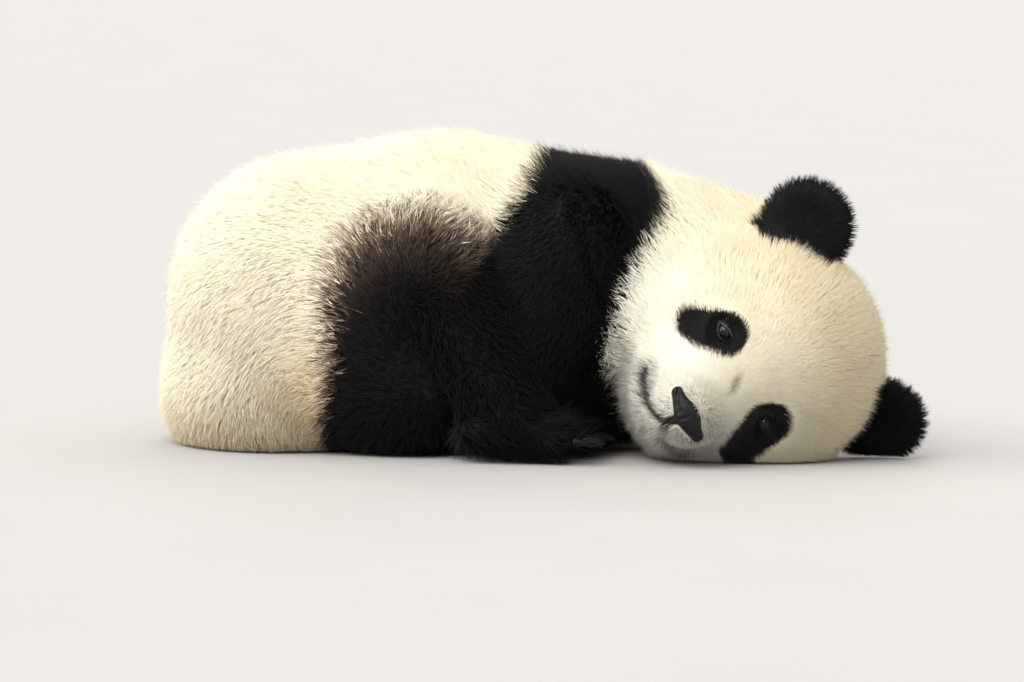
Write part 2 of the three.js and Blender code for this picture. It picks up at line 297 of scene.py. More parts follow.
EYE_AT = {side: np.array((side * EYE_SPACING / 2, 74.0, 5.0)) for side in SIDES}
# Half length and half height between the lids. The lower eye is nearly shut against the ground.
EYE_OPENING = {RIGHT: (12.0, 5.2), LEFT: (10.0, 1.5)}
LID = 1.9  # thickness of the lids over the eyeball
NOSE_AT = np.array((-1.0, 158.0, -42.0))
MOUTH_CORNER = 50.0  # how far the mouth runs to each side
MOUTH_TOP = -70.0
MOUTH_DROP = 21.0
LIP_GROOVE = 4.5  # depth of the line between the lips
FOLD_GROOVE = 1.2  # depth of the fold beside the muzzle


def mouth_height(x):
    """The line between the lips falls from the middle and turns up a little at its corners."""
    t = np.clip(np.abs(x) / MOUTH_CORNER, 0, 1)
    return MOUTH_TOP - MOUTH_DROP * np.sin(t * 2.2) / np.sin(2.2 * 0.71)


def mouth_distance(local):
    """Distance to the line between the lips and to the groove up to the nose, over the surface."""
    x, z = local[:, 0], local[:, 2]
    past = np.maximum(np.abs(x) - MOUTH_CORNER, 0)
    lips = np.hypot((z - mouth_height(x)) * 0.85, past)
    over = np.maximum(z - (NOSE_AT[2] - 6), 0) + np.maximum(MOUTH_TOP - z, 0)
    philtrum = np.hypot(x, over)
    front = np.maximum(92 - local[:, 1], 0)
    return np.hypot(np.minimum(lips, philtrum), front)


def cheek_fold(local):
    """Distance to the short fold where the muzzle meets the brow."""
    fold = limb(local * (1, 0, 1), (-1, 0, 1), (7, 0, 8), 0.6, 0.2)
    return np.where(local[:, 1] > 90, fold, 60)


def eye_plane(local, side):
    """Across and up in the plane of the lids, and the distance from the eye's centre."""
    off = local - EYE_AT[side]
    lean = math.radians(-6)
    across = off[:, 0] * side + 1.0
    up = off[:, 2] - 1.0
    u = across * math.cos(lean) + up * math.sin(lean)
    v = up * math.cos(lean) - across * math.sin(lean)
    return u, v, np.linalg.norm(off, axis=1), off[:, 1]


def from_eye(local):
    """Distance from the middle of the nearer eye."""
    return np.minimum(*(np.linalg.norm(local - EYE_AT[side], axis=1) for side in SIDES))


def eye_opening(local, side):
    """Distance to the edge of the almond between the lids, negative in it."""
    u, v, _, front = eye_plane(local, side)
    half, high = EYE_OPENING[side]
    edge = np.abs(v) - high * (1 - (u / half) ** 2)
    return np.maximum(edge / np.hypot(1, 2 * high * u / half**2), -front)


def region_depth(points, local, skull_at, muzzle_at, ear_at):
    """How deep the skin lies under the tips of the coat: later regions lie over earlier ones."""
    _, shins, paws = (np.minimum.reduce(parts) for parts in zip(*limbs(points).values()))
    height, front = local[:, 2], local[:, 1]
    from_nose = np.linalg.norm((local - NOSE_AT) * (0.8, 1, 1), axis=1)
    shares = (
        ("leg", smooth_step(20, -20, shins)),
        ("paw", smooth_step(10, -8, paws)),
        ("head", smooth_step(30, -10, skull_at)),
        ("face", smooth_step(40, 88, front) * smooth_step(30, -10, skull_at)),
        ("muzzle", smooth_step(12, -8, muzzle_at)),
        ("eye", smooth_step(40, 16, from_eye(local))),
        ("chin", smooth_step(-90, -104, height) * smooth_step(20, 50, front)),
        ("nose", smooth_step(46, 22, from_nose)),
        ("ear", smooth_step(7, -3, ear_at)),
        ("tail", smooth_step(10, -8, tail(points))),
    )
    depth = np.full(len(points), DEPTH["body"])
    for name, share in shares:
        depth = depth + (DEPTH[name] - depth) * share
    return depth


def open_shape(points):
    """The coat's outer shape before the ground presses it, with what the skin needs of it."""
    local = inside(HEAD, points)
    skull_at, muzzle_at, ear_at = skull(local), muzzle(local), ears(points)
    shape = smooth_min(body_without_head(points), skull_at, HEAD_SOFT)
    shape = smooth_min(shape, muzzle_at, MUZZLE_SOFT)
    shape = smooth_min(shape, jaw(local), JAW_SOFT)
    shape = smooth_min(shape, ear_at, EAR_SOFT)
    return shape, local, skull_at, muzzle_at, ear_at


def skin(points):
    shape, local, skull_at, muzzle_at, ear_at = open_shape(points)
    shape = shape + region_depth(points, local, skull_at, muzzle_at, ear_at)
    near = np.flatnonzero((local[:, 1] > 50) & (np.abs(shape) < 30))
    if len(near):
        shape[near] = face(shape[near], local[near])
    return smooth_max(shape, SKIN_FLOOR - points[:, 2], 5)


def face(shape, local):
    """Adds the lips, the sockets and the lids to the skin of the face."""
    pressed = 1 - 0.7 * smooth_step(-2, -12, local[:, 0])
    shape = shape + LIP_GROOVE * pressed * bell(mouth_distance(local), 0, 3.2)
    shape = shape + FOLD_GROOVE * bell(np.maximum(cheek_fold(local), 0), 0, 4)
    over_nose = np.minimum.reduce([nose_distance(local - (0, step, 0)) for step in (0, 4, 8)])
    shape = smooth_max(shape, -1.2 - over_nose, 1.5)
    for side in SIDES:
        u, v, reach, front = eye_plane(local, side)
        aside = np.hypot(u, v * 1.15)
        lid = reach - EYE_RADIUS - LID - 0.5 * bell(v, 3.2, 2.2)
        share = smooth_step(25, 10.5, aside) * smooth_step(-6, 2, front)
        shape = shape + (lid - shape) * share
        shape = smooth_max(shape, -eye_opening(local, side), 1.0)
        shape = np.maximum(shape, EYE_RADIUS + 0.2 - reach)
    return shape


# ---- Mesher ---------------------------------------------------------------------------------

SLOPE_STEP = 0.4  # from a point to the four where its slope is taken
FARTHEST_MOVE = 1.5  # for one vertex in one round
SPREAD = 1.15  # growth of the grid's spacing, from one line to the next
AT_ONCE = 200000  # points that are measured together
SLAB = 16  # planes of the rough grid that are measured together
CORNERS = [(i, j, k) for i in (0, 1) for j in (0, 1) for k in (0, 1)]  # of a cell


def graded_lines(low, high, fine_low, fine_high, fine, coarse):
    """Grid lines that are close together over one stretch and spread out to either side."""
    middle = np.arange(fine_low, fine_high + fine, fine)
    up, step = [middle[-1]], fine
    while up[-1] < high:
        step = min(step * SPREAD, coarse)
        up.append(up[-1] + step)
    down, step = [middle[0]], fine
    while down[-1] > low:
        step = min(step * SPREAD, coarse)
        down.append(down[-1] - step)
    return np.array(down[:0:-1] + list(middle) + up[1:])


def sample_near(distance, lines, stride=3):
    """Distances at the crossings of the grid lines, exact near the surface and rough elsewhere."""
    picks = [np.arange(0, len(line) + stride, stride).clip(max=len(line) - 1) for line in lines]
    coarse = [line[pick] for line, pick in zip(lines, picks)]
    rough = np.concatenate(
        [distance(crossings((coarse[0][i : i + SLAB], *coarse[1:])))
         for i in range(0, len(coarse[0]), SLAB)]
    ).reshape([len(line) for line in coarse])
    nearest = [np.rint(np.arange(len(line)) / stride).astype(int) for line in lines]
    halves = [np.gradient(line[pick])[near] / 2 for line, pick, near in zip(lines, picks, nearest)]
    values = rough[np.ix_(*nearest)].astype(np.float32)
    reach = np.sqrt(
        halves[0][:, None, None] ** 2 + halves[1][None, :, None] ** 2 + halves[2][None, None, :] ** 2
    )
    wanted = np.argwhere(np.abs(values) < reach * 1.25 + 3)
    places = np.stack([line[wanted[:, k]] for k, line in enumerate(lines)], 1)
    exact = [distance(places[i : i + AT_ONCE]) for i in range(0, len(places), AT_ONCE)]
    values[tuple(wanted.T)] = np.concatenate(exact)
    return values


def crossings(lines):
    return np.stack(np.meshgrid(*lines, indexing="ij"), -1).reshape(-1, 3)


def surface_net(values, lines):
    """Vertices and quads of the zero surface, one vertex in each cell that it passes through."""
    inner = values < 0
    spans = [(slice(0, size - 1), slice(1, size)) for size in inner.shape]
    counts = sum(inner[spans[0][i], spans[1][j], spans[2][k]].astype(np.int8) for i, j, k in CORNERS)
    cells = np.argwhere((counts > 0) & (counts < 8))
    number = np.full(counts.shape, -1, np.int64)
    number[tuple(cells.T)] = np.arange(len(cells))

    total, hits = np.zeros((len(cells), 3)), np.zeros(len(cells))
    for axis in range(3):
        for corner in CORNERS:
            if corner[axis]:
                continue
            start = cells + corner
            end = start + np.eye(3, dtype=int)[axis]
            v0, v1 = values[tuple(start.T)], values[tuple(end.T)]
            cut = (v0 < 0) != (v1 < 0)
            t = np.where(cut, v0 / np.where(cut, v0 - v1, 1), 0)[:, None]
            p0, p1 = (np.stack([line[i] for line, i in zip(lines, spot.T)], 1) for spot in (start, end))
            total += np.where(cut[:, None], p0 + (p1 - p0) * t, 0)
            hits += cut

    quads = []
    for axis, (one, two) in enumerate(((1, 2), (2, 0), (0, 1))):
        here = np.take(inner, range(inner.shape[axis] - 1), axis)
        there = np.take(inner, range(1, inner.shape[axis]), axis)
        edges = np.argwhere(here != there)
        for side in (one, two):
            edges = edges[(edges[:, side] > 0) & (edges[:, side] < counts.shape[side])]
        ring = []
        for a, b in ((1, 1), (0, 1), (0, 0), (1, 0)):
            cell = edges.copy()
            cell[:, one] -= a
            cell[:, two] -= b
            ring.append(number[tuple(cell.T)])
        quad = np.stack(ring, 1)
        rising = here[tuple(edges.T)]
        quad[~rising] = quad[~rising][:, ::-1]
        quads.append(quad)
    return total / hits[:, None], np.concatenate(quads)


def slope(distance, points):
    """Gradient of a distance, from four points around each."""
    ways = np.array(((1, 1, 1), (1, -1, -1), (-1, 1, -1), (-1, -1, 1)), float)
    return sum(distance(points + SLOPE_STEP * way)[:, None] * way for way in ways) / (4 * SLOPE_STEP)


def onto(distance, points):
    """Points moved to the zero surface, and the directions out of it."""
    for _ in range(2):
        rise = slope(distance, points)
        move = distance(points)[:, None] * rise / np.maximum((rise**2).sum(1, keepdims=True), 0.1)
        size = np.maximum(np.linalg.norm(move, axis=1, keepdims=True), 1e-9)
        points = points - move * np.minimum(1, FARTHEST_MOVE / size)
    return points, unit(slope(distance, points))


def surface(distance, lines):
    vertices, quads = surface_net(sample_near(distance, lines), lines)
    vertices, normals = onto(distance, vertices)
    return vertices, quads, normals


# ---- Markings -------------------------------------------------------------------------------


# Large numbers that mix a cell's place and a seed into a chance value.
SCATTER = (73856093, 19349663, 83492791, 2654435, 1274126177)


def noise(points, scale, seed):
    """Smooth values from -1 to 1 that change over about a scale."""
    places = np.asarray(points, float) / scale
    cell = np.floor(places).astype(np.int64)
    part = places - cell
    part = part * part * (3 - 2 * part)
    total = np.zeros(len(places))
    for corner in CORNERS:
        x, y, z = (cell + corner).T
        mixed = (x * SCATTER[0]) ^ (y * SCATTER[1]) ^ (z * SCATTER[2]) ^ (seed * SCATTER[3])
        mixed = (mixed ^ (mixed >> 13)) * SCATTER[4]
        value = ((mixed ^ (mixed >> 16)) & 65535) / 32767.5 - 1
        total += value * np.abs(1 - np.array(corner) - part).prod(1)
    return total


def capsule_2d(x, z, a, b, radius_a, radius_b):
    flat = np.stack([x, np.zeros_like(x), z], 1)
    return limb(flat, (a[0], 0, a[1]), (b[0], 0, b[1]), radius_a, radius_b)


def eye_patch(local):
    """The dark patch round each eye, which droops outwards."""
    x, z = np.abs(local[:, 0]), local[:, 2]
    patch = capsule_2d(x, z, (52, 13), (78, -22), 20, 17.5)
    lower = capsule_2d(x, z, (52, 15), (73, -33), 23, 18)
    patch = np.where(local[:, 0] > 0, patch, lower)
    return np.where(local[:, 1] > 30, patch, 60)


# Where the cream ruff of the cheek meets the black shoulder: x at heights over the ground.
RUFF_HEIGHTS = (37, 64, 90, 120, 147, 178, 206, 230, 256, 270, 300)
RUFF_EDGE = (83, 77, 68, 68, 76, 86, 99, 115, 131, 136, 112)


def ruff_edge(points):
    return np.interp(points[:, 2], RUFF_HEIGHTS, RUFF_EDGE) - points[:, 0]


def leg_patch(points):
    """Distance to the dark patch over a folded hind leg, seen from the side."""
    return capsule_2d(points[:, 0], points[:, 2], (-133, 148), (-115, 30), 92, 112)


def markings(points, spread=0.0):
    """How black, golden and brown the coat is, with the head's own coordinates and its share. The
    golden share also holds painted shade near the ground under the rump, and the black holds painted
    shade in the crease of the mouth.

    A spread gives each lock its own chance.
    """
    points = np.asarray(points, float)
    local = inside(HEAD, points)
    x, y, z = points.T
    ragged = 3 * noise(points, 17, 1) + 2 * noise(points, 6, 2)
    head_at, body_at, ear_at = head(points), body_without_head(points), ears(points)
    ruff = smooth_step(1.5, -1.5, ruff_edge(points) + ragged + 5 * spread)
    ruff = ruff * smooth_step(70, 30, y) * smooth_step(18, 30, z)
    on_head = np.maximum(smooth_step(3, -3, head_at - body_at + 0.3 * ragged), ruff)
    band = x - (-6 - 0.67 * (321 - z)) - 13 + ragged
    neck = np.minimum(x - (112 + 0.77 * np.minimum(300 - z, 60)), z - 175) + ragged
    shoulders = smooth_step(-7, 7, band + 6 * spread) * smooth_step(6, -6, neck + 3 * spread)
    leg_at = leg_patch(points)
    high, above = smooth_step(170, 235, z), smooth_step(50, 130, z)
    soft = 8 + 12 * above + 3 * high
    leg_black = smooth_step(soft, -soft, leg_at - 13 * high + 2 * ragged + (4 + 5 * above) * spread)
    rim, over = ear_rim(points), ear_at - head_at + 0.4 * ragged + 1.5 * spread
    on_ear = smooth_step(EAR_RADIUS + 10, EAR_RADIUS + 5, rim) * smooth_step(3, -3, over)
    base = smooth_step(EAR_RADIUS - 2, EAR_RADIUS - 7, rim) * smooth_step(17, 11, over)
    ear_black = np.maximum(on_ear, base)
    eye_black = smooth_step(1.6, -1.6, eye_patch(local) + 0.4 * ragged + 0.9 * spread)
    body_black = np.maximum(shoulders, leg_black) * (1 - on_head)
    pressed = 1 - 0.6 * smooth_step(-2, -12, local[:, 0])
    # The black along the mouth is partly the dark lips and partly painted shade in the crease between
    # them.
    lips = pressed * smooth_step(6.5, 3, mouth_distance(local) + 0.8 * spread)
    black = np.maximum.reduce([body_black, ear_black, eye_black * on_head, 0.9 * lips])
    gold_and_low_shade = bell(np.hypot((x + 242) / 56, (z - 52) / 58), 0, 1) * (y < 60)
    gold_and_low_shade *= 0.8 + 0.35 * noise(points, 9, 3)
    # Painted shade: the cream turns golden towards the ground under the rump, where shade falls.
    gold_and_low_shade = np.maximum(gold_and_low_shade, 0.6 * bell(z, 10, 40) * smooth_step(-150, -240, x))
    brown = smooth_step(-62, -12, leg_at + ragged) * smooth_step(120, 205, z) * smooth_step(40, 0, x)
    frost = ear_black * smooth_step(53, 57, rim) * smooth_step(0, -30, x - 262 - 0.5 * (z - 214))
    brown = np.maximum(brown * (shoulders < 0.5), 0.35 * frost)
    return np.clip(np.stack([black, gold_and_low_shade, brown], 1), 0, 1), local, on_head


def ear_rim(points):
    """Distance from the middle of the nearer ear."""
    return np.minimum(*(np.linalg.norm(inside(EAR[side], points), axis=1) for side in SIDES))


def face_tones(local, on_head):
    """How grey the coat is round nose, mouth and chin, with painted shade along the fold beside the
    muzzle, how warm over the crown and how pale below.
    """
    _, front, height = local.T
    x, _, z = (local - NOSE_AT).T
    round_nose = np.hypot(x * np.where(x > 0, 1.0, 0.7), z * np.where(z > 0, 1.25, 0.7))
    grey = 0.8 * smooth_step(52, 16, round_nose) * smooth_step(70, 100, front)
    grey = np.maximum(grey, smooth_step(20, 3, mouth_distance(local)))
    # Painted shade: grey along the short fold where the muzzle meets the brow.
    grey = np.maximum(grey, 0.6 * smooth_step(7, 0, cheek_fold(local)))
    chin = smooth_step(-80, -104, height) * smooth_step(50, 85, front)
    grey = np.maximum(grey, 0.45 * chin)
    warm = smooth_step(-20, 70, height) * smooth_step(80, 20, front - 0.4 * height)
    pale = smooth_step(10, 70, front) * smooth_step(20, -40, height)
    return grey * on_head, warm * on_head, pale * on_head


# ---- The lie of the coat --------------------------------------------------------------------


def lie(points):
    """Which way the coat points, before it is laid along the skin."""
    local = inside(HEAD, points)
    x, z = points[:, 0], points[:, 2]
    still = np.zeros((len(x), 3))
    round_back = np.stack([-(z - 70) - 15, 0.15 * (points[:, 1] - MIDLINE), (x + 200) - 35], 1)
    splay = np.stack([x + 118, np.zeros(len(x)), z - 70], 1)
    flows = [(trunk(points) + 10, unit(round_back))]
    for (word, side), (upper, lower, foot) in limbs(points).items():
        if word == "hind":
            leg, joints, over = HIND[side], ("knee", "ankle"), unit(splay)
        else:
            leg, joints = FORE[side], ("elbow", "wrist")
            over = towards(leg["shoulder"], leg["elbow"]) + still
        middle, low = (leg[joint] for joint in joints)
        toes = paw_frame(leg["foot"], leg["heading"])[0][:, 1] + still
        flows += [(upper, over), (lower, towards(middle, low) + still), (foot, toes)]
    flows.append((nape(points), np.array((-1, 0, 0.1)) + still))
    from_nose = unit(local - (0, 150, -30)) @ HEAD[0].T
    flows.append((head(points) - 6, from_nose))
    for side in SIDES:
        base = outside(EAR[side], np.array((0, 0, -24.0)))
        flows.append((ear(points, side) - 8, unit(points - base)))
    nearest = np.minimum.reduce([at for at, _ in flows])
    total = sum(np.exp(-(at - nearest) / 9)[:, None] * way for at, way in flows)
    return unit(total)


def towards(a, b):
    return unit(np.subtract(b, a))


# ---- The coat -------------------------------------------------------------------------------
# Each kind of coat: spacing and width of its locks, how far a lock runs along the skin for each
# millimetre that it rises, the spread of a clump, how strongly a clump draws its locks in, how
# far its locks stray, the share of them that bend, and how far along a lock the markings are taken.

SETTINGS = ("spacing", "width", "run", "clump", "draw", "wild", "bent", "mark")
KINDS = dict(
    body=(1.45, 1.6, 1.0, 4.5, 0.2, 0.15, 0.08, 0.35),
    leg=(1.75, 1.6, 1.0, 7, 0.35, 0.26, 0.2, 0.35),
    head=(1.3, 1.4, 0.9, 4, 0.2, 0.14, 0.0, 0.6),
    face=(1.0, 0.65, 1.2, 3, 0.12, 0.1, 0.0, 0.85),
    muzzle=(0.9, 0.55, 1.4, 2.5, 0.12, 0.12, 0.0, 0.85),
    ear=(1.3, 1.1, 1.1, 4, 0.25, 0.2, 0.0, 0.6),
    chin=(1.35, 1.0, 1.1, 6, 0.45, 0.38, 0.0, 0.6),
    paw=(1.6, 1.5, 2.8, 6, 0.35, 0.2, 0.0, 0.5),
)
KIND_NAMES = list(KINDS)


def of_kind(kind, setting):
    """A setting for each index of a kind."""
    return np.array(list(KINDS.values()), float)[kind, SETTINGS.index(setting)]


def kinds_at(points, local):
    """Index of the kind of coat at each point: later kinds lie over earlier ones."""
    skull_at, muzzle_at, ear_at = skull(local), muzzle(local), ears(points)
    head_at, body_at = head(points), body_without_head(points)
    legs, paws = [], []
    for (word, _), (upper, lower, foot) in limbs(points).items():
        legs += [upper + (12 if word == "fore" else 0), lower]
        paws.append(foot)
    leg_at, paw_at = np.minimum.reduce(legs), np.minimum.reduce(paws)
    x, front, height = local.T
    on_head = head_at < body_at
    near_face = (front > 84) | (from_eye(local) < 44) | (eye_patch(local) < 7)
    on_face = on_head & near_face & (height >= mouth_height(x) - 7)
    rows = (
        ("leg", leg_at < trunk(points) - 2),
        ("paw", paw_at < leg_at),
        ("head", on_head),
        ("chin", on_head & (height < -62)),
        ("face", on_face),
        ("muzzle", on_face & (muzzle_at < 2) & (front > 112)),
        ("ear", ear_at < np.minimum(skull_at, body_at)),
    )
    kind = np.full(len(points), KIND_NAMES.index("body"))
    for name, where in rows:
        kind[where] = KIND_NAMES.index(name)
    return kind


def piece_at(points, local, kind):
    """Name of the coat piece that a root belongs to."""
    beyond = points[:, 1] > MIDLINE
    chest = points[:, 0] > -50
    names = np.where(beyond, "coat_abdomen_left", "coat_abdomen_right").astype(object)
    for part, where in (("rump", points[:, 0] < -240), ("chest", chest)):
        names[where] = np.where(beyond, f"coat_{part}_left", f"coat_{part}_right")[where]
    names[chest & (points[:, 0] > 112) & (points[:, 2] > 170)] = "coat_neck"
    is_kind = {name: kind == KIND_NAMES.index(name) for name in KINDS}
    low, parts = is_kind["leg"] | is_kind["paw"], limbs(points)
    for side, word in SIDES.items():
        at_side = beyond == (side == LEFT)
        fore_at, hind_at = (np.minimum.reduce(parts[group, side]) for group in ("fore", "hind"))
        names[low & at_side & (hind_at <= fore_at)] = "coat_hind_leg_" + word
        names[low & at_side & (hind_at > fore_at)] = "coat_foreleg_" + word
        names[is_kind["ear"] & (local[:, 0] * side > 0)] = "coat_ear_" + word
    names[is_kind["head"] | is_kind["chin"]] = "coat_cheeks"
    names[is_kind["head"] & (local[:, 2] > 20)] = "coat_crown"
    names[is_kind["face"]] = "coat_face"
    names[is_kind["muzzle"]] = "coat_muzzle"
    return names


DEEPEST = 25.0  # the deepest that the coat is taken to be
LIFT = (0.7, 1.55)  # how far a lock may rise, as shares of the coat's depth
STRAYS = 0.13  # share of the locks that stand out of the coat
STRAY_LIFT = 0.45  # how much further they rise
STRAY_THIN = 0.45  # how much thinner they are
HANG = 38.0  # how far the chest's locks hang under the neck
ROOT_SINK = 1.2  # a lock starts this far under the skin
CANDIDATES = 3.0  # roots drawn for each square of the spacing
ROOM = 1.22  # side of the cell that keeps one of them, against the spacing
CELLS_ACROSS = 4096  # more than lie along any side of the cub
FLOOR_GAP = 0.4  # the lowest that a lock reaches
ROUNDING = 0.2  # how much a lock's own roundness shows in its shading, beside the body's
STRAIGHT = ((0, 1, 2), (0, 3, 1), (1, 3, 2), (2, 3, 0))
BENT = (
    (0, 1, 2), (0, 4, 1), (0, 3, 4), (1, 5, 2), (1, 4, 5), (2, 3, 0), (2, 5, 3), (3, 6, 4), (4, 6, 5),
    (5, 6, 3),
)


def bare(local):
    """Where no lock grows: in the sockets, on the lids' rims, between the lips and on the nose."""
    out = nose_distance(local) < 1.0
    out |= mouth_distance(local) < np.where(local[:, 0] > -4, 1.8, 0.4)
    for side in SIDES:
        _, _, reach, front = eye_plane(local, side)
        out |= (reach < EYE_RADIUS + LID + 3) & (eye_opening(local, side) < 3.0) & (front > 0)
        out |= reach < EYE_RADIUS + 1.0
    return out


def cell_keys(points, size):
    """One number for the cubic cell that each point lies in."""
    cell = np.floor(points / size).astype(np.int64)
    return (cell[:, 0] * CELLS_ACROSS + cell[:, 1]) * CELLS_ACROSS + cell[:, 2]


def scatter(vertices, normals, quads, rng):
    """Roots spread over the skin, closer together where the coat is finer."""
    triangles = np.concatenate([quads[:, [0, 1, 2]], quads[:, [0, 2, 3]]])
    corners = vertices[triangles]
    first, second = corners[:, 1] - corners[:, 0], corners[:, 2] - corners[:, 0]
    area = np.linalg.norm(np.cross(first, second), axis=1) / 2
    middle = corners.mean(1)
    kind = kinds_at(middle, inside(HEAD, middle))
    spacing = of_kind(kind, "spacing")
    wanted = area / spacing**2 * CANDIDATES
    wanted[(middle[:, 2] < SKIN_FLOOR + 1) & (normals[triangles[:, 0], 2] < -0.7)] *= 0.1
    count = np.floor(wanted + rng.random(len(wanted))).astype(int)
    chosen = np.repeat(np.arange(len(triangles)), count)
    chosen = chosen[rng.permutation(len(chosen))]
    a, b = rng.random((2, len(chosen)))
    a, b = np.where(a + b > 1, 1 - a, a), np.where(a + b > 1, 1 - b, b)
    share = np.stack([1 - a - b, a, b], 1)
    points = (corners[chosen] * share[:, :, None]).sum(1)
    cells = cell_keys(points, (spacing[chosen] * ROOM)[:, None])
    _, keep = np.unique(cells * 16 + kind[chosen], return_index=True)
    keep = keep[~bare(inside(HEAD, points[keep]))]
    normal = unit((normals[triangles[chosen[keep]]] * share[keep][:, :, None]).sum(1))
    chosen = chosen[keep]
    return dict(at=points[keep], out=normal, triangle=chosen, share=share[keep], kind=kind[chosen])


def clumps(points, kind, rng):
    """For each root, the index of the root that leads its clump."""
    leader = np.zeros(len(points), int)
    for index in np.unique(kind):
        own = np.flatnonzero(kind == index)
        order = own[rng.permutation(len(own))]
        _, first = np.unique(cell_keys(points[order], of_kind(index, "clump")), return_index=True)
        leads = order[first]
        tree = KDTree(len(leads))
        for k, lead in enumerate(leads):
            tree.insert(points[lead], k)
        tree.balance()
        leader[own] = [leads[tree.find(point)[1]] for point in points[own]]
    return leader


def grow(roots, rng):
    """Adds to the roots the middles and tips of their locks, and how they are coloured."""
    at, out, kind = roots["at"], roots["out"], roots["kind"]
    count = len(at)
    piece = piece_at(at, inside(HEAD, at), kind)
    leader = clumps(at, kind, rng)
    rise = np.clip(-open_shape(at)[0], 1.2, DEEPEST)
    way = lie(at) + 0.22 * np.stack([noise(at, 38, 11 + k) for k in range(3)], 1)
    wild = of_kind(kind, "wild")
    astray = 1.2 * rng.normal(size=(count, 3))[leader] + 0.7 * rng.normal(size=(count, 3))
    way += wild[:, None] * astray
    way = unit(way - (way * out).sum(1, keepdims=True) * out)
    stray = rng.random(count) < STRAYS
    uneven = 0.3 * rng.normal(size=count)[leader] + 0.35 * rng.normal(size=count)
    lift = np.clip(0.97 + wild * uneven + STRAY_LIFT * stray, *LIFT) * rise
    run = of_kind(kind, "run") * rise * (0.85 + 0.3 * rng.random(count))
    run *= 1 + bell(ruff_edge(at), -8, 12) * smooth_step(60, 30, at[:, 1]) * rng.random(count)
    tip = at + out * lift[:, None] + way * run[:, None]
    middle = at + out * (0.6 * lift)[:, None] + way * (0.34 * run)[:, None]
    pull = of_kind(kind, "draw")[:, None] * (0.6 + 0.6 * rng.random((count, 1)))
    middle += 0.3 * pull * (middle[leader] - middle)
    tip += pull * (tip[leader] - tip)
    x, y, z = at.T
    under_neck = smooth_step(20, 50, x) * smooth_step(150, 120, x)
    under_neck *= smooth_step(60, 20, y) * smooth_step(85, 50, z)
    tip[:, 2] -= HANG * under_neck * (kind < KIND_NAMES.index("head"))
    tip[:, 2] = np.maximum(tip[:, 2], FLOOR_GAP + 1.5 * rng.random(count))
    middle[:, 2] = np.maximum(middle[:, 2], FLOOR_GAP + 1.0)
    seen = at + of_kind(kind, "mark")[:, None] * (tip - at)
    marks, local, on_head = markings(seen, rng.normal(size=count))
    grey, warm, pale = face_tones(local, on_head)
    grey = np.clip(grey * (0.3 + 1.3 * (rng.random(count) < 0.5)), 0, 1)
    width = of_kind(kind, "width") * (0.75 + 0.5 * rng.random(count)) * (1 - STRAY_THIN * stray)
    tone = np.column_stack([rng.random(count), warm, pale])
    bent = rng.random(count) < of_kind(kind, "bent")
    marks = np.column_stack([marks, grey])
    locks = dict(middle=middle, tip=tip, width=width, tone=tone, bent=bent, marks=marks, piece=piece)
    return {**roots, **locks}


def lock_mesh(roots, own, bent):
    """Closed three-sided locks, straight or bent, as arrays: places, triangles, normals, roots."""
    at, out = roots["at"][own], roots["out"][own]
    base = at - out * ROOT_SINK
    middle, tip = roots["middle"][own], roots["tip"][own]
    first, second = unit(middle - base), unit(tip - middle)
    stations = [(base, unit(tip - base), 1.0)]
    if bent:
        stations = [(base, first, 0.8), (middle, unit(first + second), 1.0)]
    rings, normals = [], []
    for centre, way, swell in stations:
        across = unit(np.cross(way, out))
        up = np.cross(across, way)
        for angle in (90, 210, 330):
            c, s = math.cos(math.radians(angle)), math.sin(math.radians(angle))
            half = (roots["width"][own] * swell / 2)[:, None]
            rings.append(centre + half * (c * across + 0.6 * s * up))
            normals.append(unit(out + ROUNDING * (c * across + s * up) + 0.1 * way))
    rings.append(tip)
    normals.append(unit(out + 0.3 * second))
    places = np.stack(rings, 1)
    normals = np.stack(normals, 1)
    triangles = np.arange(len(at))[:, None, None] * len(rings) + np.array(BENT if bent else STRAIGHT)
    along = np.append(np.repeat((0, 0.5)[: len(stations)], 3), 1.0)
    across = np.append(np.tile((0, -1, 1), len(stations)), 0.0)
    each = np.tile(np.stack([along, across], 1), (len(at), 1))
    root = np.repeat(own, len(rings))
    return *(array.reshape(-1, 3) for array in (places, triangles, normals)), root, each


def locks_mesh(roots, own):
    """The straight and the bent locks of a piece in one set of arrays."""
    bent = lock_mesh(roots, own[roots["bent"][own]], True)
    straight = lock_mesh(roots, own[~roots["bent"][own]], False)
    joined = [np.concatenate(pair) for pair in zip(bent, straight)]
    joined[1] = np.concatenate([bent[1], straight[1] + len(bent[0])])
    return joined


# ---- Blender meshes -------------------------------------------------------------------------
# The CAD part is centred on its own box, so the cub's millimetres move to it by the eye's place.

low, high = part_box("eye_right")
MOVE = np.array((low + high) / 2) - outside(HEAD, EYE_AT[RIGHT]) / 1000
BAKE_PATCH = 0.003  # width of a lock's patch on the map of the skin


def placed(points):
    return np.asarray(points) / 1000 + MOVE


def mesh_object(name, points, faces, material=None, normals=None, attributes=()):
    """An object on the CAD frame, in metres, from arrays in the cub's millimetres."""
    mesh = bpy.data.meshes.new(name)
    sides = faces.shape[1]
    mesh.vertices.add(len(points))
    mesh.vertices.foreach_set("co", placed(points).astype(np.float32).ravel())
    mesh.loops.add(faces.size)
    mesh.loops.foreach_set("vertex_index", faces.astype(np.int32).ravel())
    mesh.polygons.add(len(faces))
    mesh.polygons.foreach_set("loop_start", np.arange(0, faces.size, sides, dtype=np.int32))
    mesh.update(calc_edges=True)
    mesh.polygons.foreach_set("use_smooth", np.full(len(faces), True))
    for key, values in attributes:
        layer = mesh.attributes.new(key, "FLOAT_COLOR", "POINT")
        layer.data.foreach_set("color", np.ascontiguousarray(values, np.float32).ravel())
    if normals is not None:
        mesh.normals_split_custom_set_from_vertices(normals.astype(np.float32))
    if material:
        mesh.materials.append(material)
    piece = bpy.data.objects.new(name, mesh)
    bpy.context.scene.collection.objects.link(piece)
    return piece


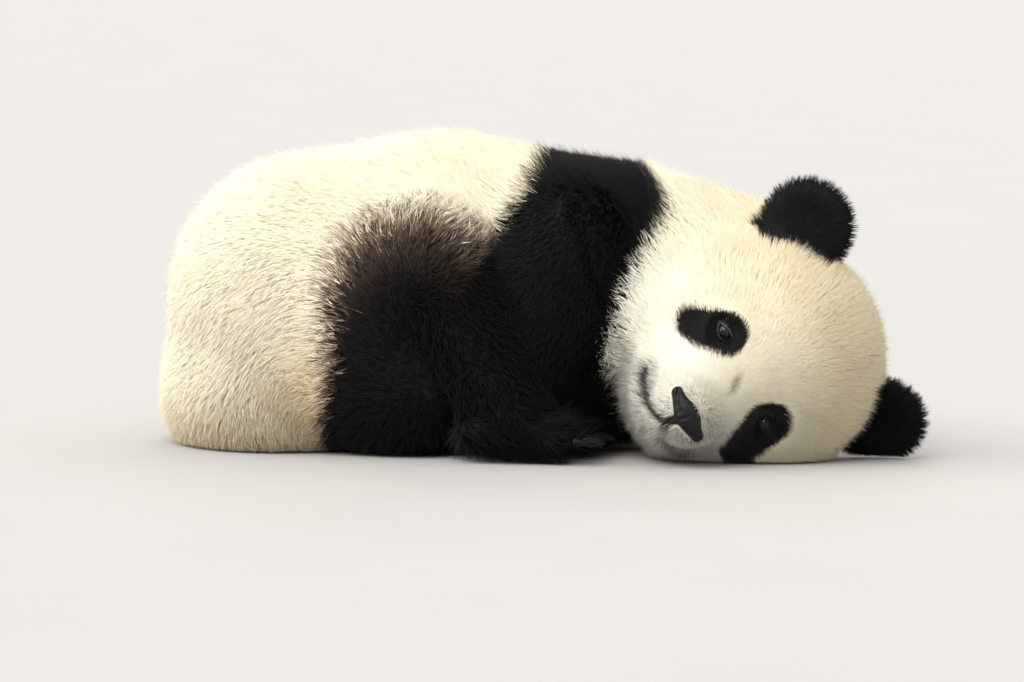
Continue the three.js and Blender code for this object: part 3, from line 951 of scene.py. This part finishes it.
def unwrapped(vertices, quads):
    """An unwrap of some of the skin: for each of its quads, the four corners' places on the map."""
    used, index = np.unique(quads, return_inverse=True)
    patch = mesh_object("unwrap", vertices[used], index.reshape(quads.shape))
    bpy.ops.object.select_all(action="DESELECT")
    bpy.context.view_layer.objects.active = patch
    patch.select_set(True)
    bpy.ops.object.mode_set(mode="EDIT")
    bpy.ops.mesh.select_all(action="SELECT")
    bpy.ops.uv.smart_project(angle_limit=math.radians(66), island_margin=0.004)
    bpy.ops.object.mode_set(mode="OBJECT")
    places = np.zeros(len(patch.data.loops) * 2, np.float32)
    patch.data.uv_layers.active.data.foreach_get("uv", places)
    mesh = patch.data
    bpy.data.objects.remove(patch)
    bpy.data.meshes.remove(mesh)
    return places.reshape(-1, 4, 2)


def root_places(roots, own, vertices, quads):
    """Where each lock's root lies on the unwrap of its piece of the skin."""
    quad = roots["triangle"][own] % len(quads)
    second = roots["triangle"][own] >= len(quads)
    used, index = np.unique(quad, return_inverse=True)
    corners = unwrapped(vertices, quads[used])[index]
    picks = np.where(second[:, None], (0, 2, 3), (0, 1, 2))
    three = np.take_along_axis(corners, picks[:, :, None], axis=1)
    return (three * roots["share"][own][:, :, None]).sum(1)


def coat_piece(name, roots, vertices, quads, material):
    own = np.flatnonzero(roots["piece"] == name)
    points, triangles, normals, root, each = locks_mesh(roots, own)
    tone = np.column_stack([each[:, 0], roots["tone"][root]])
    attributes = (("marking", roots["marks"][root]), ("strand", tone))
    piece = mesh_object(name, points, triangles, material, normals, attributes)
    spot = np.zeros((len(roots["at"]), 2))
    spot[own] = root_places(roots, own, vertices, quads)
    spot = spot[root] + np.stack([each[:, 1], each[:, 0] - 0.5], 1) * (BAKE_PATCH / 2, BAKE_PATCH)
    layer = piece.data.uv_layers.new(name="OFBake")
    layer.data.foreach_set("uv", spot[triangles.ravel()].astype(np.float32).ravel())
    return piece


# ---- Eyes, nose, claws and whiskers ---------------------------------------------------------


def nose_distance(local):
    """The bare pad: two lobes over the upper lip, with open nostrils and a groove between."""
    pad = egg(local, NOSE_AT + (0, -4, 0), (15, 12, 10.5))
    for side in SIDES:
        lobe = limb(local, NOSE_AT + (side * 9, -3, -4), NOSE_AT + (side * 24, -6, -4), 11, 7)
        pad = smooth_min(pad, lobe, 5)
    lip = limb(local, NOSE_AT + (0, 0, -8), NOSE_AT + (0, 0, -20), 8, 3.6)
    pad = smooth_min(pad, lip, 6)
    for side in SIDES:
        pad = smooth_max(pad, -nostril(local, side), 2.2)
    groove = limb(local, NOSE_AT + (0, 10, 2), NOSE_AT + (0, 8, -20), 0.8, 1.5)
    return smooth_max(pad, -groove, 2.4)


def nostril(local, side):
    hole = limb(local, NOSE_AT + (side * 10, 11, -8), NOSE_AT + (side * 16, 8, -8), 5.0, 4.2)
    slit = limb(local, NOSE_AT + (side * 16, 8, -8), NOSE_AT + (side * 28, -2, -1), 3.2, 1.2)
    return smooth_min(hole, slit, 3)


def nose_piece(material):
    frame_lines = (np.arange(-36, 36.1, 0.9), np.arange(126, 176, 0.9), np.arange(-70, -24, 0.9))
    points, quads, _ = surface(nose_distance, frame_lines)
    shade = np.zeros((len(points), 4))
    # Painted shade: darker inside the nostrils.
    for side in SIDES:
        shade[:, 0] = np.maximum(shade[:, 0], smooth_step(1.6, 0.2, nostril(points, side)))
    attributes = (("nostril_shade", shade),)
    return mesh_object("nose_pad", outside(HEAD, points), quads, material, None, attributes)


EYE_RINGS = 48
EYE_AROUND = 64
GAZE = (0.08, 1.0, -0.02)  # in the head's frame, for the right eye
CORNEA_RISE = 0.9
CORNEA_WIDE = 38.0  # degrees from the gaze


def tube_faces(rings, sides):
    """Triangles of a closed tube whose points are its rings, then its first and its last point."""
    rows = np.arange(rings * sides).reshape(rings, sides)
    after = np.roll(rows, -1, axis=1)
    quads = np.stack([rows[:-1], after[:-1], after[1:], rows[1:]], -1).reshape(-1, 4)
    ends = [(after[0], rows[0], rows.size), (rows[-1], after[-1], rows.size + 1)]
    caps = [np.stack([one, two, np.full(sides, tip)], 1) for one, two, tip in ends]
    return np.concatenate([quads[:, [0, 1, 2]], quads[:, [0, 2, 3]], *caps])


def eye_piece(side, material):
    """A ball with a clear bulge over the iris. Its attribute holds where a point is round the gaze."""
    gaze = unit(np.array((GAZE[0] * side, GAZE[1], GAZE[2])))
    across = unit(np.cross(gaze, (0, 0, 1)))
    up = np.cross(across, gaze)
    theta = np.linspace(0, math.pi, EYE_RINGS + 1)[1:-1]
    phi = np.linspace(0, 2 * math.pi, EYE_AROUND, endpoint=False)
    t, p = [grid.ravel() for grid in np.meshgrid(theta, phi, indexing="ij")]
    t, p = np.append(t, (0, math.pi)), np.append(p, (0, 0))
    reach = EYE_RADIUS + CORNEA_RISE * bell(np.degrees(t), 0, 0.75 * CORNEA_WIDE)
    ways = np.stack([np.cos(t), np.sin(t) * np.cos(p), np.sin(t) * np.sin(p)], 1)
    points = EYE_AT[side] + reach[:, None] * (ways @ np.stack([gaze, across, up]))
    carried = np.stack([t / math.pi, np.sin(p), np.cos(p), np.ones(len(t))], 1)
    faces = tube_faces(EYE_RINGS - 1, EYE_AROUND)[:, ::-1]
    name, attributes = "eyeball_" + SIDES[side], (("iris", carried),)
    return mesh_object(name, outside(HEAD, points), faces, material, None, attributes)


CLAW_LENGTH = 21.0
CLAW_RADIUS = 4.0
CLAW_STEPS = 13  # places along a claw


def spike(path, radii, sides, squeeze=1.0):
    """A closed, tapering tube along a path of points, squeezed from side to side."""
    path, radii = np.asarray(path, float), np.asarray(radii)[:-1, None, None]
    way = unit(np.gradient(path, axis=0))
    across = unit(np.cross(way, (0.02, 0.05, 1.0)))
    up = np.cross(across, way)
    angle = np.linspace(0, 2 * math.pi, sides, endpoint=False)[None, :, None]
    ring = radii * (squeeze * np.cos(angle) * across[:-1, None] + np.sin(angle) * up[:-1, None])
    body = (path[:-1, None] + ring).reshape(-1, 3)
    return np.concatenate([body, path[:1], path[-1:]]), tube_faces(len(path) - 1, sides)


def claw_pieces(material):
    steps = np.linspace(0, 1, CLAW_STEPS)
    radii = CLAW_RADIUS * np.sqrt(np.maximum(1 - steps**1.6, 0)) * (1 - 0.25 * steps)
    for word, legs, size in (("hind", HIND, HIND_PAW), ("fore", FORE, FORE_PAW)):
        for side in SIDES:
            place = paw_frame(legs[side]["foot"], legs[side]["heading"])
            for i in TOES:
                path = np.zeros((CLAW_STEPS, 3)) + toe_spot(i, size) + (0, 7, 2)
                path[:, 1] += CLAW_LENGTH * steps
                path[:, 2] -= 0.24 * CLAW_LENGTH * steps**2
                points, faces = spike(path, radii, 12, squeeze=0.7)
                node = f"claw_{word}_{SIDES[side]}_{i + 3}"
                piece = mesh_object("horn_" + node, outside(place, points), faces, material)
                finish_piece(piece, "claw", node)


WHISKERS = dict(muzzle=20, chin=6, brow=4)
WHISKER_LENGTH = (14, 26)
WHISKER_RADIUS = 0.12
WHISKER_ROOM = 9.0  # no whisker comes closer to the ground


def whisker_piece(material, rng):
    """Stiff, fine hairs on the muzzle, the chin and over the eyes, where the ground leaves room."""
    steps = np.linspace(0, 1, 9)
    parts, faces, count = [], [], 0
    places = [place for place, many in WHISKERS.items() for _ in range(many)]
    for k, place in enumerate(places):
        side = RIGHT if k % 2 else LEFT
        if place == "muzzle":
            start = np.array((side * rng.uniform(16, 40), 0, rng.uniform(-74, -46)))
            way = np.array((side * 0.9, 0.45, rng.uniform(-0.6, 0.1)))
        elif place == "chin":
            start = np.array((side * rng.uniform(4, 24), 0, rng.uniform(-104, -92)))
            way = np.array((side * 0.5, 0.35, -0.8))
        else:
            start = np.array((side * rng.uniform(40, 58), 0, rng.uniform(24, 32)))
            way = np.array((side * 0.35, 0.7, 0.6))
        start[1] = front_of(start[0], start[2])
        long = rng.uniform(*WHISKER_LENGTH) * (0.5 if place == "chin" else 1)
        path = start + steps[:, None] * unit(way) * long
        path[:, 2] -= 0.18 * long * steps**2
        path[:, 1] -= 0.22 * long * steps**2
        points, own = spike(outside(HEAD, path), WHISKER_RADIUS * (1 - 0.9 * steps), 5)
        if points[:, 2].min() < WHISKER_ROOM:
            continue
        parts.append(points)
        faces.append(own + count)
        count += len(points)
    return mesh_object("whiskers", np.concatenate(parts), np.concatenate(faces), material)


def front_of(x, z):
    """y of the face's skin straight behind a point, in the head's frame."""
    reach = np.arange(190, 60, -1.0)
    line = np.stack([np.full(len(reach), x), reach, np.full(len(reach), z)], 1)
    hit = np.flatnonzero(skin(outside(HEAD, line)) < 0)
    return reach[hit[0]] if len(hit) else 100.0


# ---- Materials ------------------------------------------------------------------------------


class Nodes:
    """Builds one material's node tree. A value is a constant or another node's socket."""

    def __init__(self, name, **constants):
        self.material = bpy.data.materials.new(name)
        self.material.use_nodes = True
        self.tree = self.material.node_tree
        self.shader = self.tree.nodes["Principled BSDF"]
        for socket, value in constants.items():
            self.put(self.shader, socket.replace("_", " "), value)

    def put(self, node, socket, value):
        if isinstance(value, bpy.types.NodeSocket):
            self.tree.links.new(value, node.inputs[socket])
        else:
            node.inputs[socket].default_value = value

    def link(self, value, socket):
        self.put(self.shader, socket, value)

    def add(self, kind, values=(), **settings):
        made = self.tree.nodes.new("ShaderNode" + kind)
        for key, value in settings.items():
            setattr(made, key, value)
        for socket, value in dict(values).items():
            self.put(made, socket, value)
        return made

    def channels(self, name):
        """The four numbers that a mesh carries under a name."""
        source = self.add("Attribute", attribute_name=name)
        parts = self.add("SeparateColor", {"Color": source.outputs["Color"]})
        return (*(parts.outputs[k] for k in ("Red", "Green", "Blue")), source.outputs["Alpha"])

    def mix(self, share, one, two, blend="MIX"):
        values = {0: share}
        for socket, colour in ((6, one), (7, two)):
            values[socket] = (*colour, 1) if isinstance(colour, tuple) else colour
        return self.add("Mix", values, data_type="RGBA", blend_type=blend).outputs[2]

    def math(self, operation, *values, clamp=False):
        made = self.add("Math", dict(enumerate(values)), operation=operation, use_clamp=clamp)
        return made.outputs[0]

    def ramp(self, value, *stops, interpolation="EASE"):
        """Colours or greys at places along a value."""
        made = self.add("ValToRGB", {"Fac": value})
        band = made.color_ramp
        band.interpolation = interpolation
        while len(band.elements) < len(stops):
            band.elements.new(0.5)
        for element, (place, colour) in zip(band.elements, stops):
            element.position = place
            element.color = (*colour, 1) if isinstance(colour, tuple) else (colour,) * 3 + (1,)
        return made.outputs["Color"]

    def noise(self, scale, detail=3.0, rough=0.55):
        place = self.add("TexCoord").outputs["Object"]
        values = {"Vector": place, "Scale": scale, "Detail": detail, "Roughness": rough}
        return self.add("TexNoise", values).outputs["Fac"]

    def bump(self, height, strength, distance):
        made = self.add("Bump", {"Height": height, "Strength": strength, "Distance": distance})
        self.link(made.outputs["Normal"], "Normal")


CREAM = (0.95, 0.89, 0.69)
CREAM_ROOT = (0.95, 0.88, 0.68)
WARM = (0.95, 0.81, 0.54)
PALE = (0.93, 0.93, 0.84)
GOLD = (0.62, 0.43, 0.22)
TAN = (0.30, 0.22, 0.16)  # where cream turns to black
GREY = (0.14, 0.135, 0.125)
BLACK = (0.0062, 0.0058, 0.0064)
BLACK_ROOT = (0.003, 0.0028, 0.003)
BROWN = (0.062, 0.040, 0.029)
SKIN_PINK = (0.13, 0.105, 0.095)


def fur_colour(nodes):
    """The coat's colour from its markings, its place along a lock and its own chance."""
    black, gold_and_low_shade, brown, grey = nodes.channels("marking")
    along, chance, warm, pale = nodes.channels("strand")
    tips = nodes.mix(warm, CREAM, WARM)
    tips = nodes.mix(pale, tips, PALE)
    rise = nodes.ramp(along, (0.0, 0.0), (0.55, 0.75), (1.0, 1.0))
    cream = nodes.mix(rise, CREAM_ROOT, tips)
    # The golden share tints the cream: a golden patch on the rump, and painted shade near the ground
    # under it.
    cream = nodes.mix(nodes.math("MULTIPLY", gold_and_low_shade, 0.8), cream, GOLD)
    # The grey share is grey hair round the nose, mouth and chin, and painted shade along the fold
    # beside the muzzle.
    greyed = nodes.math("MULTIPLY", grey, nodes.math("MULTIPLY_ADD", along, -0.7, 1.2))
    cream = nodes.mix(greyed, cream, GREY)
    dark = nodes.mix(rise, BLACK_ROOT, BLACK)
    dark = nodes.mix(nodes.math("MULTIPLY", brown, along, clamp=True), dark, BROWN)
    half = nodes.ramp(black, (0.05, 0.0), (0.5, 1.0), interpolation="LINEAR")
    full = nodes.ramp(black, (0.5, 0.0), (0.95, 1.0), interpolation="LINEAR")
    between = nodes.mix(grey, TAN, GREY)
    colour = nodes.mix(full, nodes.mix(half, cream, between), dark)
    spread = nodes.ramp(chance, (0.0, 0.88), (1.0, 1.0), interpolation="LINEAR")
    colour = nodes.mix(1.0, colour, spread, "MULTIPLY")
    mottle = nodes.ramp(nodes.noise(22.0), (0.3, 0.93), (0.7, 1.0))
    return nodes.mix(1.0, colour, mottle, "MULTIPLY")


def coat_material(name, sheen):
    """Soft, rough hair."""
    nodes = Nodes(name, Specular_IOR_Level=0.1, Sheen_Weight=sheen, Sheen_Roughness=0.5)
    nodes.link(fur_colour(nodes), "Base Color")
    fine = nodes.noise(900.0, 2.0)
    nodes.link(nodes.ramp(fine, (0.2, 0.5), (0.8, 0.72)), "Roughness")
    nodes.bump(fine, 0.25, 0.0004)
    return nodes.material


def skin_material():
    """The hide under the coat, with bare dark rims and lips where no hair grows."""
    nodes = Nodes("hide", Specular_IOR_Level=0.3)
    colour = fur_colour(nodes)
    rim, pink, lip, _ = nodes.channels("bare")
    pores = nodes.noise(700.0, 4.0)
    rim_colour = nodes.ramp(pores, (0.3, (0.03, 0.029, 0.031)), (0.75, (0.065, 0.063, 0.065)))
    colour = nodes.mix(lip, colour, (0.022, 0.018, 0.018))
    colour = nodes.mix(rim, colour, rim_colour)
    colour = nodes.mix(pink, colour, SKIN_PINK)
    nodes.link(colour, "Base Color")
    wet = nodes.math("MAXIMUM", rim, pink)
    nodes.link(nodes.ramp(wet, (0.0, 0.8), (1.0, 0.42)), "Roughness")
    nodes.bump(pores, 0.4, 0.0005)
    return nodes.material


def nose_material():
    """Dark pebbled skin, a little moist, with painted shade making the nostrils black."""
    nodes = Nodes("nose_leather", Specular_IOR_Level=0.2, Coat_Weight=0.05, Coat_Roughness=0.3)
    nostril_shade = nodes.channels("nostril_shade")[0]
    place = nodes.add("TexCoord").outputs["Object"]
    cells = nodes.add("TexVoronoi", {"Vector": place, "Scale": 900.0}, feature="DISTANCE_TO_EDGE")
    pebbles = nodes.ramp(cells.outputs["Distance"], (0.0, 0.0), (0.25, 1.0))
    mottle = nodes.noise(160.0)
    tint = nodes.ramp(mottle, (0.3, (0.003, 0.003, 0.0033)), (0.75, (0.007, 0.007, 0.0075)))
    tint = nodes.mix(nodes.math("MULTIPLY", pebbles, 0.3), tint, (0.013, 0.0127, 0.0133))
    # Painted shade: the nostrils are darkened inside.
    nodes.link(nodes.mix(nostril_shade, tint, (0.002, 0.002, 0.002)), "Base Color")
    nodes.link(nodes.ramp(mottle, (0.2, 0.38), (0.8, 0.55)), "Roughness")
    nodes.bump(pebbles, 0.35, 0.0003)
    return nodes.material


def eye_material():
    """A dark brown iris round a black pupil under a wet film."""
    film = dict(Coat_Weight=0.6, Coat_Roughness=0.03)
    nodes = Nodes("wet_eye", Roughness=0.12, Specular_IOR_Level=0.1, **film)
    angle, swing, lean, _ = nodes.channels("iris")
    streaks = nodes.add("CombineXYZ", {"X": swing, "Y": lean, "Z": angle})
    values = {"Vector": streaks.outputs["Vector"], "Scale": 9.0, "Detail": 5.0}
    streak = nodes.add("TexNoise", values).outputs["Fac"]
    iris = nodes.ramp(streak, (0.3, (0.005, 0.003, 0.002)), (0.7, (0.018, 0.010, 0.006)))
    ring = nodes.ramp(
        angle, (0.0, (0.001, 0.001, 0.001)), (0.085, (0.001, 0.001, 0.001)), (0.10, (1, 1, 1)),
        (0.19, (0.8, 0.8, 0.8)), (0.225, (0.12, 0.1, 0.1)), interpolation="LINEAR",
    )
    inner = nodes.mix(1.0, iris, ring, "MULTIPLY")
    white = nodes.ramp(angle, (0.22, 0.0), (0.27, 1.0))
    nodes.link(nodes.mix(white, inner, (0.05, 0.04, 0.036)), "Base Color")
    return nodes.material


def claw_material():
    """Dark horn, finely grooved."""
    nodes = Nodes("claw_horn", Specular_IOR_Level=0.1)
    grain = nodes.noise(420.0, 5.0)
    horn = nodes.ramp(grain, (0.25, (0.005, 0.0046, 0.0042)), (0.75, (0.014, 0.012, 0.010)))
    nodes.link(horn, "Base Color")
    nodes.link(nodes.ramp(grain, (0.2, 0.3), (0.8, 0.5)), "Roughness")
    nodes.bump(grain, 0.3, 0.0003)
    return nodes.material


def whisker_material():
    nodes = Nodes("whisker_hair", Specular_IOR_Level=0.4)
    hair = nodes.ramp(nodes.noise(60.0), (0.35, (0.35, 0.33, 0.30)), (0.7, (0.8, 0.78, 0.72)))
    nodes.link(hair, "Base Color")
    nodes.link(nodes.ramp(nodes.noise(300.0), (0.2, 0.4), (0.8, 0.55)), "Roughness")
    return nodes.material


# ---- Building the cub -----------------------------------------------------------------------

FLESH = [
    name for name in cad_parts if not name.startswith(("eye_", "claw_")) and name != "nose"
]
BLACK_PIECES = ("coat_chest", "coat_hind", "coat_fore", "coat_ear")


def finish_piece(piece, slot, *nodes):
    """What every piece of the cub gets: its body, and the hiding of the CAD nodes that it stands for.
    The slot is not used.
    """
    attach(piece, "root")
    if nodes:
        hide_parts(*nodes)


def bare_marks(local, points):
    """Where the hide shows: the lids' rims, the pink inner corners of the eyes, and the lips."""
    rim, pink = np.zeros(len(points)), np.zeros(len(points))
    for side in SIDES:
        u, _, reach, front = eye_plane(local, side)
        near = smooth_step(EYE_RADIUS + LID + 4, EYE_RADIUS + LID + 2, reach) * (front > 0)
        edge = eye_opening(local, side)
        # Painted shade: the lower eye's rims stay nearly as dark as its patch, since that eye lies in
        # shade against the ground.
        rim = np.maximum(rim, near * smooth_step(2.8, 1.6, edge) * (1 if side == RIGHT else 0.15))
        if side == RIGHT:
            pink = near * smooth_step(1.6, 0.4, edge) * smooth_step(-7, -10, u)
    lip = smooth_step(3.4, 1.6, mouth_distance(local))
    return np.stack([rim, pink, lip, np.ones(len(points))], 1)


def skin_lines():
    """Grid lines for the skin, close together across the eyes, the nose and the mouth."""
    spans = ((-420, 445, 95, 262), (-240, 250, -224, -128), (-6, 350, 6, 160))
    fine, coarse = ((1.4, 4.8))
    return tuple(graded_lines(*span, fine, coarse) for span in spans)


def skin_piece(vertices, quads):
    local = inside(HEAD, vertices)
    marks, _, on_head = markings(vertices)
    grey, warm, pale = face_tones(local, on_head)
    tone = np.stack([np.full(len(vertices), 0.2), np.full(len(vertices), 0.5), warm, pale], 1)
    attributes = (
        ("marking", np.column_stack([marks, 0.7 * grey])),
        ("strand", tone),
        ("bare", bare_marks(local, vertices)),
    )
    piece = mesh_object("skin", vertices, quads, skin_material(), None, attributes)
    finish_piece(piece, "cream_coat", *FLESH)


SEED = 20


def build():
    rng = np.random.default_rng(SEED)
    vertices, quads, normals = surface(skin, skin_lines())
    skin_piece(vertices, quads)
    roots = grow(scatter(vertices, normals, quads, rng), rng)
    cream, black = coat_material("cream_hair", 0.1), coat_material("black_hair", 0.025)
    for name in sorted(set(roots["piece"])):
        is_black = name.startswith(BLACK_PIECES)
        piece = coat_piece(name, roots, vertices, quads, black if is_black else cream)
        finish_piece(piece, "black_coat" if is_black else "cream_coat")
    finish_piece(nose_piece(nose_material()), "nose_skin", "nose")
    wet = eye_material()
    for side in SIDES:
        finish_piece(eye_piece(side, wet), "eye", "eye_" + SIDES[side])
    claw_pieces(claw_material())
    finish_piece(whisker_piece(whisker_material(), rng), "cream_coat")


# ---- Floor, light and camera ----------------------------------------------------------------

PHOTO_WIDTH = 1024  # pixels
MM_PER_PIXEL = 1.05  # at the cub
CAMERA_BACK = 5.2  # metres from the point that it looks at
CAMERA_ABOVE = 4.5  # degrees above the horizon
CAMERA_TILT = 1.0  # degrees of roll
LOOK_AT = (-0.0315, -0.060, 0.118)
SENSOR = 36.0
FLOOR_RADIUS = 400.0  # metres, so that the horizon is one line
FLOOR_DROP = 0.0005  # metres that the floor lies under the cub
# Soft lights: azimuth and height in degrees, spread in degrees, strength and colour.
LIGHTS = dict(
    key=(-28, 46, 45, 2.25, (1.0, 0.97, 0.92)),
    glint=(-20, 32, 5, 0.3, (1.0, 0.98, 0.95)),
    fill=(-82, 16, 60, 2.4, (1.0, 0.98, 0.94)),
    back=(170, 40, 50, 0.6, (1.0, 0.99, 0.96)),
)
SKY_COLOUR = (0.88, 0.875, 0.86, 1)
SKY_STRENGTH = 1.08


def stage_floor():
    settings = dict(vertices=96, radius=FLOOR_RADIUS, fill_type="NGON")
    bpy.ops.mesh.primitive_circle_add(**settings, location=(0, 0, -FLOOR_DROP))
    floor = bpy.context.object
    floor.name = "floor"
    nodes = Nodes("pale_floor", Specular_IOR_Level=0.2)
    grain = nodes.noise(3.0)
    pale = nodes.ramp(grain, (0.3, (0.44, 0.435, 0.425)), (0.7, (0.455, 0.45, 0.44)))
    nodes.link(pale, "Base Color")
    nodes.link(nodes.ramp(grain, (0.3, 0.75), (0.7, 0.85)), "Roughness")
    floor.data.materials.append(nodes.material)


def sun(name, azimuth, height, spread, strength, colour):
    """Soft light from a direction: azimuth 0 shines along +Y, and 90 along -X."""
    data = bpy.data.lights.new(name, "SUN")
    data.angle, data.energy, data.color = math.radians(spread), strength, colour
    lamp = bpy.data.objects.new(name, data)
    turn, rise = math.radians(azimuth), math.radians(height)
    source = Vector((math.sin(turn) * math.cos(rise), -math.cos(turn) * math.cos(rise), math.sin(rise)))
    lamp.rotation_euler = source.to_track_quat("Z", "Y").to_euler()
    bpy.context.scene.collection.objects.link(lamp)


def lights():
    for name, light in LIGHTS.items():
        sun(name, *light)
    world = bpy.data.worlds.new("studio")
    bpy.context.scene.world = world
    world.use_nodes = True
    background = world.node_tree.nodes["Background"]
    background.inputs["Color"].default_value = SKY_COLOUR
    background.inputs["Strength"].default_value = SKY_STRENGTH


def camera():
    """Looks at the cub from its front, a little from above, as far off as a long lens needs."""
    data = bpy.data.cameras.new("camera")
    data.sensor_width = SENSOR
    data.lens = SENSOR * CAMERA_BACK / (PHOTO_WIDTH * MM_PER_PIXEL / 1000)
    data.clip_end = 1000
    rise, tilt = math.radians(CAMERA_ABOVE), math.radians(CAMERA_TILT)
    ahead = Vector((0, math.cos(rise), -math.sin(rise)))
    across = Vector((1, 0, 0))
    up = across.cross(ahead)
    right = across * math.cos(tilt) + up * math.sin(tilt)
    top = up * math.cos(tilt) - across * math.sin(tilt)
    place = Vector(LOOK_AT) - ahead * CAMERA_BACK
    seer = bpy.data.objects.new("camera", data)
    seer.matrix_world = Matrix.Translation(place) @ Matrix((right, top, -ahead)).transposed().to_4x4()
    bpy.context.scene.collection.objects.link(seer)
    bpy.context.scene.camera = seer


camera()
lights()
stage_floor()
build()
bpy.context.scene.view_settings.view_transform = "Standard"
